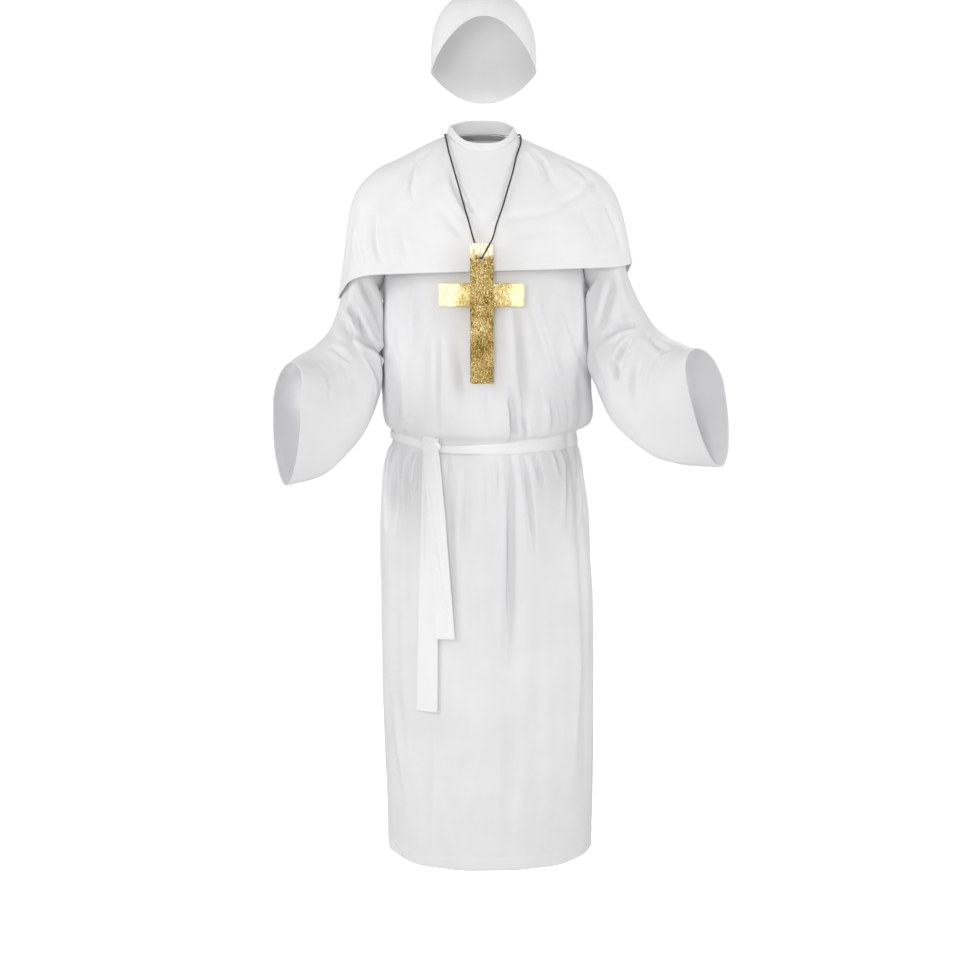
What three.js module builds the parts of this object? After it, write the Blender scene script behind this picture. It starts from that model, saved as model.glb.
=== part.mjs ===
// A fancy-dress papal costume as it is worn: a long white robe with bell sleeves, a shoulder cape with
// a soft stand collar, a tie belt, a close cap and a gilt cross on a thin neck cord.
// Millimetres, +Z up, front towards -Y, the wearer's right on -X.
// The origin is the centre of the neck at the height where the cape rests beside it on the shoulders.
import * as THREE from 'three';

// Driving dimensions
const CLOTH = 2;
const SEAM = 0.3;
const ROUNDNESS = 2.2;
const NECK_TO_HEM = 1300;
const ARMPIT = 270;
const BELT_AT = 540;
const BELT_HEIGHT = 22;
const BELT_LAYERS = 3;
const BELT_CLEAR = 0.5;
const BELT_SAG = 15;
const BELT_REACH = 150;
const HEM_LIFT = 9;
const HEM_LIFT_FROM = 1100;
const TAPE = 1.5;
const CORD_DIAMETER = 3;
const CORD_SIDES = 8;
const CORD_STEPS = 78;

// Girth of the robe: half widths to the wearer's right (left in front view) and left, depths to the
// front and the back, by the drop below the neck
const ROBE = [
  { at: ARMPIT, left: 184, right: 181, front: 122, back: 112 },
  { at: 390, left: 187, right: 187, front: 124, back: 110 },
  { at: 460, left: 187, right: 192, front: 128, back: 108 },
  { at: 500, left: 186, right: 195, front: 132, back: 108 },
  { at: 520, left: 181, right: 187, front: 131, back: 105 },
  { at: BELT_AT - BELT_HEIGHT / 2, left: 170, right: 166, front: 122, back: 96 },
  { at: BELT_AT + BELT_HEIGHT / 2, left: 170, right: 166, front: 122, back: 96 },
  { at: 568, left: 179, right: 171, front: 128, back: 101 },
  { at: 600, left: 186, right: 178, front: 132, back: 108 },
  { at: 680, left: 190, right: 187, front: 139, back: 118 },
  { at: 800, left: 191, right: 196, front: 148, back: 128 },
  { at: 950, left: 189, right: 201, front: 158, back: 140 },
  { at: 1120, left: 184, right: 202, front: 169, back: 154 },
  { at: NECK_TO_HEM, left: 178, right: 198, front: 180, back: 168 },
];

// Yoke of the robe, under the cape: neckline, shoulder tips and how far the armholes bow
const YOKE = {
  neckCentre: -5,
  neckHalf: 69,
  neckFront: 62,
  neckBack: 66,
  neckSideDrop: 7.7,
  neckFrontDrop: 50,
  neckBackDrop: 6,
  neckShare: 0.42,
  tipLeft: 192,
  tipRight: 190,
  tipDrop: 69,
  armholeBow: 58,
  armholePinch: 14,
};

// Folds that the belt and the arms pull into the robe: place round the body in degrees from the front
// centre (plus is the wearer's left), where it starts and ends below the neck, depth (minus is a
// trough) and half width in degrees
const ROBE_FOLDS = [
  { turn: -74, from: 555, to: 700, depth: -6, width: 4 },
  { turn: -62, from: 340, to: 505, depth: -6, width: 5 },
  { turn: -55, from: 555, to: 690, depth: -7, width: 4 },
  { turn: -47, from: 555, to: 1230, depth: 5, width: 5 },
  { turn: -28, from: 350, to: 525, depth: -5, width: 4 },
  { turn: -15, from: 395, to: 525, depth: 4, width: 5 },
  { turn: 6, from: 300, to: 525, depth: 4, width: 5 },
  { turn: 13, from: 380, to: 1000, depth: -8, width: 4 },
  { turn: 22, from: 556, to: 740, depth: -5, width: 4 },
  { turn: 31, from: 556, to: 690, depth: -5, width: 4 },
  { turn: 40, from: 290, to: 525, depth: -6, width: 5 },
  { turn: 50, from: 555, to: 1230, depth: 6, width: 6 },
  { turn: 63, from: 300, to: 1240, depth: -6, width: 5 },
  { turn: 76, from: 555, to: 740, depth: -5, width: 4 },
  { turn: 108, from: 330, to: 760, depth: -6, width: 5 },
  { turn: 124, from: 410, to: 900, depth: -7, width: 5 },
  { turn: 140, from: 550, to: 1180, depth: 6, width: 6 },
  { turn: 156, from: 350, to: 780, depth: -6, width: 5 },
  { turn: 172, from: 420, to: 980, depth: -7, width: 5 },
  { turn: 189, from: 380, to: 720, depth: -5, width: 5 },
  { turn: 205, from: 340, to: 1010, depth: -7, width: 5 },
  { turn: 221, from: 550, to: 1200, depth: 6, width: 6 },
  { turn: 237, from: 400, to: 820, depth: -6, width: 5 },
  { turn: 252, from: 320, to: 700, depth: -6, width: 5 },
];

// Rows of the robe's panels: places from 0 at the shoulder seam to 1 at the armpit, then drops. The
// yoke ends in a seam under the cape, and the bodice is joined to the skirt under the belt.
const YOKE_SEAM = 0.82;
const SEAM_PLACE = (3 * SEAM) / ARMPIT;
const YOKE_ROWS = [0, 0.2, 0.45, 0.66, YOKE_SEAM - SEAM_PLACE];
const BELT_ROWS = [BELT_AT - BELT_HEIGHT / 2, BELT_AT, BELT_AT + BELT_HEIGHT / 2];
const BODICE_ROWS = [YOKE_SEAM, 1, 330, 395, 450, 488, 508, BELT_ROWS[0], BELT_AT - SEAM / 2];
const SKIRT_ROWS = [BELT_AT + SEAM / 2, BELT_ROWS[2], 568, 600, 655, 735, 850, 980, 1140, NECK_TO_HEM];
const ROBE_STEP = 11;

// Names the columns of a ring table: half widths and depths, and the drop below the neck on each side
function neckRings(rows) {
  return rows.map(([left, right, front, back, leftDrop, rightDrop, frontDrop, backDrop], at) => (
    { at, left, right, front, back, leftDrop, rightDrop, frontDrop, backDrop }));
}

// Rings of the cape from the neck to the hem, and how level its hem hangs in front and behind
const CAPE = neckRings([
  // left, right, front, back, left drop, right drop, front drop, back drop
  [68, 58, 58, 62, 0, 2, 34, -6],
  [105, 100, 78, 88, 16, 20, 64, 12],
  [155, 150, 98, 108, 42, 42, 98, 36],
  [195, 195, 112, 120, 63, 63, 128, 70],
  [226, 226, 121, 127, 92, 92, 156, 112],
  [243, 246, 127, 132, 130, 132, 185, 160],
  [254, 258, 131, 136, 198, 184, 214, 222],
  [265, 266, 134, 139, 284, 236, 244, 290],
]);
const HEM_LEVEL = 12;
const CAPE_ROWS = 9;
const CAPE_STEP = 9;

// Drapes of the cape, as the robe's folds, with places between its rings instead of drops
const CAPE_FOLDS = [
  { turn: -76, from: 4.6, to: 7.4, depth: -4, width: 6 },
  { turn: -58, from: 2, to: 7, depth: -4, width: 6 },
  { turn: -38, from: 1, to: 5, depth: -5, width: 6 },
  { turn: -10, from: 1.2, to: 5.4, depth: -4, width: 6 },
  { turn: 22, from: 3.6, to: 7, depth: -3, width: 7 },
  { turn: 46, from: 0.8, to: 5, depth: -5, width: 6 },
  { turn: 70, from: 4.4, to: 7.4, depth: -4, width: 6 },
  { turn: 112, from: 2.6, to: 7.4, depth: -5, width: 7 },
  { turn: 146, from: 1.4, to: 6.4, depth: -5, width: 7 },
  { turn: 178, from: 2.8, to: 7.4, depth: 4, width: 8 },
  { turn: 212, from: 1.2, to: 6, depth: -5, width: 7 },
  { turn: 246, from: 3, to: 7.4, depth: -5, width: 7 },
];

// Soft stand collar on the cape's neck edge, from its seam to its free top edge
const COLLAR = neckRings([
  [68, 58, 58, 62, -0.4, 1.6, 33.6, -6.4],
  [67, 57, 57, 62, -7, -5, 27, -16],
  [63, 53, 54, 60, -18, -14, 18, -30],
]);
const COLLAR_ROWS = 3;
const COLLAR_COLUMNS = 28;

// Sleeves: each section has its upper, front, under and back point. The first section follows the
// armhole and isn't listed. The sleeve falls down the upper arm, turns at the elbow and widens into a
// bell that hangs from the forearm.
const RIGHT_ARM = [
  { over: [-232, 0, -145], front: [-216, -56, -205], under: [-192, 0, -284], back: [-216, 58, -205] },
  { over: [-253, 0, -250], front: [-229, -54, -280], under: [-193, 0, -316], back: [-228, 58, -285] },
  { over: [-272, -10, -334], front: [-229, -64, -345], under: [-191, -15, -452], back: [-245, 60, -385] },
  { over: [-298, -58, -370], front: [-225, -95, -410], under: [-217, -62, -526], back: [-286, 28, -430] },
  { over: [-323, -130, -392], front: [-262, -152, -448], under: [-276, -145, -592], back: [-336, -98, -452] },
  { over: [-331, -216, -399], front: [-312, -236, -452], under: [-342, -212, -612], back: [-366, -196, -462] }
];
const LEFT_ARM = [
  { over: [233, 0, -145], front: [217, -57, -205], under: [190, 0, -284], back: [217, 59, -205] },
  { over: [260, 0, -256], front: [232, -56, -280], under: [196, 0, -316], back: [230, 60, -285] },
  { over: [294, -8, -324], front: [234, -64, -340], under: [198, -12, -425], back: [252, 60, -375] },
  { over: [317, -52, -353], front: [238, -95, -398], under: [230, -60, -508], back: [298, 28, -415] },
  { over: [343, -125, -370], front: [286, -155, -435], under: [305, -152, -570], back: [354, -95, -440] },
  { over: [366, -212, -376], front: [343, -236, -430], under: [405, -206, -580], back: [412, -190, -440] },
];
const SLEEVE_ROWS = 13;
const SLEEVE_COLUMNS = 20;
const ELBOW = 3;
const ELBOW_ROW = 7;
const ELBOW_SEAM = 0.003;

// Creases of the sleeves: place round the sleeve in degrees from the over line towards the front,
// place between its sections, depth and half width
const SLEEVE_FOLDS = [
  { turn: 40, from: 1.4, to: 2.9, depth: -5, width: 16 },
  { turn: 78, from: 2.4, to: 4.2, depth: -7, width: 14 },
  { turn: 118, from: 3, to: 5.6, depth: 6, width: 16 },
  { turn: 262, from: 2.2, to: 4.4, depth: -6, width: 16 },
  { turn: 300, from: 3.4, to: 5.8, depth: 4, width: 16 },
];

// Close cap, a round dome with its rim arched high over the forehead and low on the nape
const CAP = {
  centre: [-2, 8, 128],
  left: 95,
  right: 94,
  front: 98,
  back: 108,
  up: 124,
  down: 150,
  crownFullness: 2.5,
  rimFront: 72,
  rimSide: -16,
  rimBack: -62,
};
const CAP_ROWS = 9;
const CAP_COLUMNS = 26;

// Knot of the belt and its two hanging ends
const KNOT = { turn: -29, half: 16, tall: 12, deep: 9, clear: 0.4, sides: 16, rows: 10 };
const LONG_TAIL = {
  from: 550,
  to: 1021,
  topLeft: -108,
  topRight: -81,
  footLeft: -119,
  footRight: -82,
  clear: 4.2,
};
const SHORT_TAIL = {
  from: 553,
  to: 890,
  topLeft: -107,
  topRight: -79,
  footLeft: -83,
  footRight: -51,
  clear: 6.4,
};
const TAIL_ROWS = 14;
const TAIL_COLUMNS = 4;

// Gilt cross of two flat bars, the upright lying on the crossbar
const CROSS = {
  uprightLeft: -26,
  uprightRight: 15,
  top: -196,
  foot: -439,
  face: -151,
  uprightThick: 5,
  barLeft: -81,
  barRight: 69,
  barTop: -264.5,
  barFoot: -306,
  barThick: 4,
  corner: 3,
  holeX: -7,
  holeZ: -224,
  holeRadius: 3.4,
};

// Route of the neck cord: from the hole's front up to the wearer's left shoulder, round the back of
// the neck, down the right and behind the cross to the hole's other side
const CORD_ROUTE = [
  [-7, -153, -224],
  [-1, -153.4, -213.5],
  [8, -153.8, -197.5],
  [13.5, -147, -186.5],
  [20, -134, -163],
  [31, -116, -131],
  [40, -101, -100],
  [48, -85.2, -73],
  [56, -61.8, -40],
  [60.5, -51, -27],
  [63.5, -38.5, -16.5],
  [64, -22, -6.4],
  [62, 0, 0.6],
  [57.5, 24, 1.2],
  [47, 46, 3.2],
  [28, 61, 5],
  [0, 66.5, 6],
  [-30, 64.5, 4.6],
  [-54, 49, 3.4],
  [-67, 27, 2.2],
  [-71.5, 4, 1.4],
  [-71.5, -17, -1.8],
  [-69, -35, -11.4],
  [-64, -58.5, -34],
  [-60, -68.5, -48],
  [-52, -87, -76],
  [-45, -99.4, -100],
  [-37, -112, -129],
  [-28, -126, -160],
  [-18.5, -140, -194],
  [-12, -143.4, -211],
  [-7, -144, -224],
];

const rad = THREE.MathUtils.degToRad;
const { clamp, lerp } = THREE.MathUtils;

// Value of one column of a table at a place between its rows, on a smooth curve through them
function along(table, column, place) {
  const last = table.length - 1;
  let i = 0;
  while (i < last - 1 && place > table[i + 1].at) i += 1;
  const slope = (k) => {
    const before = table[Math.max(k - 1, 0)];
    const after = table[Math.min(k + 1, last)];
    return (after[column] - before[column]) / (after.at - before.at);
  };
  const span = table[i + 1].at - table[i].at;
  const t = clamp((place - table[i].at) / span, 0, 1);
  const start = table[i][column] * (2 * t ** 3 - 3 * t ** 2 + 1);
  const end = table[i + 1][column] * (3 * t ** 2 - 2 * t ** 3);
  const leave = slope(i) * span * (t ** 3 - 2 * t ** 2 + t);
  const arrive = slope(i + 1) * span * (t ** 3 - t ** 2);
  return start + end + leave + arrive;
}

// Point of a rounded ring, by the angle from the front centre
function onRing(size, turn) {
  const power = 2 / ROUNDNESS;
  const side = Math.sin(rad(turn));
  const ahead = Math.cos(rad(turn));
  const half = side > 0 ? size.right : size.left;
  const depth = ahead > 0 ? size.front : size.back;
  const x = half * Math.sign(side) * Math.abs(side) ** power;
  const y = -depth * Math.sign(ahead) * Math.abs(ahead) ** power;
  return new THREE.Vector3(x, y, 0);
}

// Soft rise and fall of a fold along its length and across it
function foldHeight(folds, turn, place) {
  let height = 0;
  for (const fold of folds) {
    const share = (place - fold.from) / (fold.to - fold.from);
    if (share <= 0 || share >= 1) continue;
    let apart = Math.abs(turn - fold.turn) % 360;
    apart = Math.min(apart, 360 - apart);
    const across = Math.exp(-((apart / fold.width) ** 2));
    height += fold.depth * across * Math.sin(Math.PI * share ** 0.7) ** 0.8;
  }
  return height;
}

// Turns of a panel's columns: even steps, and one at each fold
function columnsBetween(start, end, step, folds) {
  const steps = Math.round((end - start) / step);
  const even = Array.from({ length: steps + 1 }, (_, i) => lerp(start, end, i / steps));
  const near = step * 0.4;
  const creases = folds.map((fold) => fold.turn).filter((turn) => turn > start + near && turn < end - near);
  const far = (turn) => creases.every((crease) => Math.abs(crease - turn) > near);
  const kept = even.filter((turn, i) => i === 0 || i === steps || far(turn));
  return [...kept, ...creases].sort((a, b) => a - b);
}

function turnsRound(count) {
  return Array.from({ length: count }, (_, j) => -90 + (360 * j) / count);
}

// Inner points of a cloth wall: the grid of outer points moved in by the thickness. Rows run down or
// outward and columns run from the wearer's right over the front. A ringed grid closes on itself, a
// turned one has its columns the other way, a pole has one point for its first row, and settle corrects
// the direction at a seam.
function liningOf(grid, thickness, { ringed = false, turned = false, pole = false, settle } = {}) {
  const rows = grid.length;
  const columns = grid[rows - 1].length;
  const at = (i, j) => grid[i][grid[i].length === 1 ? 0 : (j + columns) % columns];
  const slopeOf = (before, here, after, beyond) => {
    if (before && after) return after.clone().sub(before);
    const [near, far, sign] = after ? [after, beyond, 1] : [before, beyond, -1];
    return near.clone().multiplyScalar(4).addScaledVector(here, -3).sub(far).multiplyScalar(sign);
  };
  const normalAt = (i, j) => {
    if (pole && i === 0) return new THREE.Vector3(0, 0, 1);
    const first = !ringed && j === 0;
    const last = !ringed && j === columns - 1;
    const across = slopeOf(
      first ? null : at(i, j - 1), at(i, j), last ? null : at(i, j + 1), at(i, first ? j + 2 : j - 2));
    const top = i === 0;
    const foot = i === rows - 1;
    const beyond = at(top ? i + 2 : Math.max(i - 2, 0), j);
    const down = slopeOf(top ? null : at(i - 1, j), at(i, j), foot ? null : at(i + 1, j), beyond);
    const normal = down.cross(across).multiplyScalar(turned ? -1 : 1).normalize();
    if (settle) settle(normal, at(i, j), i, j);
    return normal.normalize();
  };
  const inward = (point, i, j) => point.clone().addScaledVector(normalAt(i, j), -thickness);
  return grid.map((row, i) => row.map((point, j) => inward(point, i, j)));
}

// Closed wall between a grid of outer points and its lining
function clothWall(grid, lining, { ringed = false, turned = false, pole = false } = {}) {
  const rows = grid.length;
  const columns = grid[rows - 1].length;
  const positions = [];
  const add = (point) => positions.push(point.x, point.y, point.z) / 3 - 1;
  const outer = grid.map((row) => row.map(add));
  const inner = lining.map((row) => row.map(add));
  const faces = [];
  const face = (a, b, c) => {
    if (a !== b && b !== c && a !== c) faces.push(turned ? [a, c, b] : [a, b, c]);
  };
  const quad = (a, b, c, d) => {
    face(a, b, c);
    face(a, c, d);
  };
  const pick = (layer, i, j) => layer[i][layer[i].length === 1 ? 0 : j % columns];
  const spans = ringed ? columns : columns - 1;
  for (let i = 0; i < rows - 1; i += 1) {
    for (let j = 0; j < spans; j += 1) {
      quad(pick(outer, i, j), pick(outer, i + 1, j), pick(outer, i + 1, j + 1), pick(outer, i, j + 1));
      quad(pick(inner, i, j), pick(inner, i, j + 1), pick(inner, i + 1, j + 1), pick(inner, i + 1, j));
    }
  }
  for (let j = 0; j < spans; j += 1) {
    if (!pole) quad(pick(outer, 0, j), pick(outer, 0, j + 1), pick(inner, 0, j + 1), pick(inner, 0, j));
    const k = rows - 1;
    quad(pick(outer, k, j), pick(inner, k, j), pick(inner, k, j + 1), pick(outer, k, j + 1));
  }
  if (!ringed) {
    const k = columns - 1;
    for (let i = 0; i < rows - 1; i += 1) {
      quad(outer[i][0], inner[i][0], inner[i + 1][0], outer[i + 1][0]);
      quad(outer[i][k], outer[i + 1][k], inner[i + 1][k], inner[i][k]);
    }
  }
  const geometry = new THREE.BufferGeometry();
  geometry.setAttribute('position', new THREE.Float32BufferAttribute(positions, 3));
  geometry.setIndex(faces.flat());
  return geometry;
}

// Point of the robe below the armpits. The belt sags at the front and takes the cloth with it.
function robePoint(turn, drop, lift = 0) {
  const size = {
    left: along(ROBE, 'left', drop),
    right: along(ROBE, 'right', drop),
    front: along(ROBE, 'front', drop),
    back: along(ROBE, 'back', drop),
  };
  const point = onRing(size, turn);
  const depth = point.y < 0 ? size.front : size.back;
  const half = point.x > 0 ? size.right : size.left;
  const outward = new THREE.Vector3(point.x / half ** 2, point.y / depth ** 2, 0).normalize();
  point.addScaledVector(outward, foldHeight(ROBE_FOLDS, turn, drop) + lift);
  const near = Math.cos(clamp((drop - BELT_AT) / BELT_REACH, -1, 1) * Math.PI / 2) ** 2;
  const ahead = Math.max(Math.cos(rad(turn)), 0) ** 2;
  const hem = clamp((drop - HEM_LIFT_FROM) / (NECK_TO_HEM - HEM_LIFT_FROM), 0, 1);
  const lifted = HEM_LIFT * hem * Math.abs(Math.sin(rad(turn))) ** 6;
  point.z = lifted - drop - BELT_SAG * near * ahead;
  return point;
}

// Top edge of the robe: shoulder seams and neckline, by the share of the way from the centre to the side
function yokeEdge(turn) {
  const ahead = Math.cos(rad(turn)) > 0;
  const side = Math.sign(Math.sin(rad(turn)));
  const fromCentre = Math.abs(turn) > 90 ? Math.abs(180 - Math.abs(turn)) : Math.abs(turn);
  const share = clamp(fromCentre / 90, 0, 1);
  if (share < YOKE.neckShare) {
    const swing = (share / YOKE.neckShare) * Math.PI / 2;
    const depth = ahead ? -YOKE.neckFront : YOKE.neckBack;
    const centreDrop = ahead ? YOKE.neckFrontDrop : YOKE.neckBackDrop;
    const x = YOKE.neckCentre + side * YOKE.neckHalf * Math.sin(swing);
    const z = -lerp(YOKE.neckSideDrop, centreDrop, Math.cos(swing));
    return new THREE.Vector3(x, depth * Math.cos(swing), z);
  }
  const run = (share - YOKE.neckShare) / (1 - YOKE.neckShare);
  const tip = side > 0 ? YOKE.tipRight : -YOKE.tipLeft;
  const x = lerp(YOKE.neckCentre + side * YOKE.neckHalf, tip, run);
  return new THREE.Vector3(x, 0, -lerp(YOKE.neckSideDrop, YOKE.tipDrop, run));
}

// Point of the robe between the shoulder seam and the armpits
function yokePoint(turn, share, isFront) {
  const top = yokeEdge(turn);
  const foot = robePoint(turn, ARMPIT);
  const fromCentre = Math.abs(turn) > 90 ? Math.abs(180 - Math.abs(turn)) : Math.abs(turn);
  const edge = clamp(fromCentre / 90, 0, 1);
  const swell = Math.sin(share * Math.PI / 2) ** 0.8;
  const bow = Math.sin(share * Math.PI);
  const forward = isFront ? -1 : 1;
  const x = lerp(top.x, foot.x, share) - Math.sign(foot.x) * YOKE.armholePinch * bow * edge ** 3;
  const y = lerp(top.y, foot.y, swell) + forward * YOKE.armholeBow * bow * edge ** 2;
  return new THREE.Vector3(x, y, lerp(top.z, foot.z, share));
}

// Grids of the robe's front or back, with its side and shoulder seams on the plane between them
function robePanel(start, end) {
  const rows = [...YOKE_ROWS, ...BODICE_ROWS, ...SKIRT_ROWS];
  const isFront = start < 0;
  const turns = columnsBetween(start, end, ROBE_STEP, ROBE_FOLDS);
  const forward = isFront ? -1 : 1;
  const seamed = (point) => {
    const y = forward * Math.max(forward * point.y, SEAM / 2);
    return new THREE.Vector3(point.x, y, point.z);
  };
  const ordered = (turn) => (isFront ? turn : turn > 180 ? turn - 360 : turn);
  const pointAt = (turn, place) => (
    seamed(place > 1 ? robePoint(turn, place) : yokePoint(ordered(turn), place, isFront)));
  const settle = (normal, point, i, j) => {
    const onSide = j === 0 || j === turns.length - 1;
    const onShoulder = rows[i] === 0 && Math.abs(point.y) < 1;
    if ((onSide && rows[i] >= 1) || onShoulder) normal.y = 0;
  };
  const grid = rows.map((place) => turns.map((turn) => pointAt(turn, place)));
  return [grid, liningOf(grid, CLOTH, { settle })];
}

// Sleeve point: a smooth line from the armhole through the sections, at one place round the sleeve
function sectionPoint(section, turn) {
  const [over, front, under, back] = ['over', 'front', 'under', 'back'].map(
    (name) => new THREE.Vector3(...section[name]));
  const middle = front.clone().lerp(back, 0.5);
  const up = Math.cos(rad(turn));
  const ahead = Math.sin(rad(turn));
  const point = middle.clone();
  point.addScaledVector((up > 0 ? over : under).clone().sub(middle), Math.abs(up));
  point.addScaledVector((ahead > 0 ? front : back).clone().sub(middle), Math.abs(ahead));
  return point;
}

function armholePoint(side, turn) {
  const isFront = turn <= 180;
  const share = isFront ? turn / 180 : (360 - turn) / 180;
  const point = yokePoint(side * 90, share, isFront);
  point.x += side * 3 * SEAM;
  return point;
}

function sleeveLine(side, sections, turn, place) {
  const keys = [armholePoint(side, turn), ...sections.map((section) => sectionPoint(section, turn))];
  const table = keys.map((point, i) => ({ at: i, x: point.x, y: point.y, z: point.z }));
  return new THREE.Vector3(along(table, 'x', place), along(table, 'y', place), along(table, 'z', place));
}

// Grids of a sleeve, with two rows at the elbow, where it is cut in two
function sleeveGrids(side, sections) {
  const grid = [];
  const steps = Array.from({ length: SLEEVE_ROWS + 1 }, (_, i) => (sections.length * i) / SLEEVE_ROWS);
  const places = [...steps.slice(0, ELBOW_ROW), ELBOW - ELBOW_SEAM, ELBOW, ...steps.slice(ELBOW_ROW)];
  for (const place of places) {
    const row = [];
    for (let j = 0; j < SLEEVE_COLUMNS; j += 1) {
      const turn = (360 * j) / SLEEVE_COLUMNS;
      const point = sleeveLine(side, sections, turn, place);
      const middle = sleeveLine(side, sections, 90, place).lerp(sleeveLine(side, sections, 270, place), 0.5);
      const outward = point.clone().sub(middle).normalize();
      row.push(point.addScaledVector(outward, foldHeight(SLEEVE_FOLDS, turn, place)));
    }
    grid.push(row);
  }
  const settle = (normal, point, i) => {
    if (places[i] === 0) normal.x = 0;
  };
  const lining = liningOf(grid, CLOTH, { ringed: true, turned: side > 0, settle });
  const [above, below] = [grid[ELBOW_ROW], grid[ELBOW_ROW + 1]];
  lining[ELBOW_ROW] = lining[ELBOW_ROW + 1].map((point, j) => point.clone().sub(below[j]).add(above[j]));
  return [grid, lining];
}

// Point of the cape or the collar, between two of its rings
function neckRingPoint(table, folds, turn, place) {
  const size = {
    left: along(table, 'left', place),
    right: along(table, 'right', place),
    front: along(table, 'front', place),
    back: along(table, 'back', place),
  };
  const point = onRing(size, turn);
  const sideDrop = along(table, point.x > 0 ? 'rightDrop' : 'leftDrop', place);
  const middleDrop = along(table, point.y < 0 ? 'frontDrop' : 'backDrop', place);
  const level = 2 + HEM_LEVEL * (place / (CAPE.length - 1)) ** 2;
  point.z = -lerp(middleDrop, sideDrop, Math.abs(Math.sin(rad(turn))) ** level);
  const outward = new THREE.Vector3(point.x, point.y, 0).normalize();
  return point.addScaledVector(outward, foldHeight(folds, turn, place));
}

function capePanel(start, end) {
  const turns = columnsBetween(start, end, CAPE_STEP, CAPE_FOLDS);
  const forward = Math.cos(rad((start + end) / 2)) > 0 ? -1 : 1;
  const grid = [];
  for (let i = 0; i <= CAPE_ROWS; i += 1) {
    const place = ((CAPE.length - 1) * i) / CAPE_ROWS;
    grid.push(turns.map((turn) => {
      const point = neckRingPoint(CAPE, CAPE_FOLDS, turn, place);
      point.y = forward * Math.max(forward * point.y, SEAM / 2);
      return point;
    }));
  }
  const settle = (normal, point, i, j) => {
    if (j === 0 || j === turns.length - 1) normal.y = 0;
  };
  return clothWall(grid, liningOf(grid, CLOTH, { settle }));
}

function collarWall() {
  const turns = turnsRound(COLLAR_COLUMNS);
  const grid = [];
  for (let i = COLLAR_ROWS; i >= 0; i -= 1) {
    const place = ((COLLAR.length - 1) * i) / COLLAR_ROWS;
    grid.push(turns.map((turn) => neckRingPoint(COLLAR, [], turn, place)));
  }
  return clothWall(grid, liningOf(grid, CLOTH, { ringed: true }), { ringed: true });
}

// Belt round the waist, made from the robe's own points moved out
function beltBand() {
  const front = columnsBetween(-90, 90, ROBE_STEP, ROBE_FOLDS);
  const back = columnsBetween(90, 270, ROBE_STEP, ROBE_FOLDS).slice(1, -1);
  const turns = [...front, ...back];
  const ring = (lift) => BELT_ROWS.map((drop) => turns.map((turn) => robePoint(turn, drop, lift)));
  return clothWall(ring(BELT_CLEAR + BELT_LAYERS), ring(BELT_CLEAR), { ringed: true });
}

function turnAtX(x, drop) {
  const half = along(ROBE, x > 0 ? 'right' : 'left', drop);
  return Math.sign(x) * THREE.MathUtils.radToDeg(Math.asin((Math.abs(x) / half) ** (ROUNDNESS / 2)));
}

// A hanging end of the belt, laid along the front of the robe
function tailWall(tail) {
  const grid = [];
  for (let i = 0; i <= TAIL_ROWS; i += 1) {
    const share = i / TAIL_ROWS;
    const drop = lerp(tail.from, tail.to, share);
    const left = lerp(tail.topLeft, tail.footLeft, share);
    const right = lerp(tail.topRight, tail.footRight, share);
    const row = [];
    for (let j = 0; j <= TAIL_COLUMNS; j += 1) {
      const turn = turnAtX(lerp(left, right, j / TAIL_COLUMNS), drop);
      row.push(robePoint(turn, drop, tail.clear + TAPE));
    }
    grid.push(row);
  }
  return clothWall(grid, liningOf(grid, TAPE));
}

function knotSolid() {
  const geometry = new THREE.SphereGeometry(1, KNOT.sides, KNOT.rows);
  geometry.scale(KNOT.half, KNOT.deep, KNOT.tall);
  return geometry;
}

function capWall() {
  const [x0, y0, z0] = CAP.centre;
  const grid = [[new THREE.Vector3(x0, y0, z0 + CAP.up)]];
  const pointAt = (turn, height) => {
    const tall = height > 0 ? CAP.up : CAP.down;
    const girth = Math.max(1 - (Math.abs(height) / tall) ** CAP.crownFullness, 0) ** (1 / CAP.crownFullness);
    const point = onRing(CAP, turn).multiplyScalar(girth);
    return point.add(new THREE.Vector3(x0, y0, z0 + height));
  };
  for (let i = 1; i <= CAP_ROWS; i += 1) {
    grid.push(turnsRound(CAP_COLUMNS).map((turn) => {
      const ahead = Math.cos(rad(turn));
      const rim = lerp(CAP.rimSide, ahead > 0 ? CAP.rimFront : CAP.rimBack, ahead ** 2);
      const rimAngle = Math.acos(rim / (rim > 0 ? CAP.up : CAP.down));
      const angle = (rimAngle * i) / CAP_ROWS;
      return pointAt(turn, Math.cos(angle) * (angle < Math.PI / 2 ? CAP.up : CAP.down));
    }));
  }
  const form = { ringed: true, pole: true };
  return clothWall(grid, liningOf(grid, CLOTH, form), form);
}

// Flat bar with rounded corners, standing in the XZ plane with its front face at the given Y
function flatBar(left, right, foot, top, face, thick, hole) {
  const shape = new THREE.Shape();
  const r = CROSS.corner;
  shape.moveTo(left + r, foot);
  shape.lineTo(right - r, foot);
  shape.absarc(right - r, foot + r, r, -Math.PI / 2, 0, false);
  shape.absarc(right - r, top - r, r, 0, Math.PI / 2, false);
  shape.absarc(left + r, top - r, r, Math.PI / 2, Math.PI, false);
  shape.absarc(left + r, foot + r, r, Math.PI, Math.PI * 1.5, false);
  if (hole) {
    const path = new THREE.Path();
    path.absarc(hole.x, hole.z, hole.radius, 0, Math.PI * 2, true);
    shape.holes.push(path);
  }
  const geometry = new THREE.ExtrudeGeometry(shape, { depth: thick, bevelEnabled: false, curveSegments: 4 });
  geometry.rotateX(Math.PI / 2);
  geometry.translate(0, face + thick, 0);
  return geometry;
}

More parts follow.
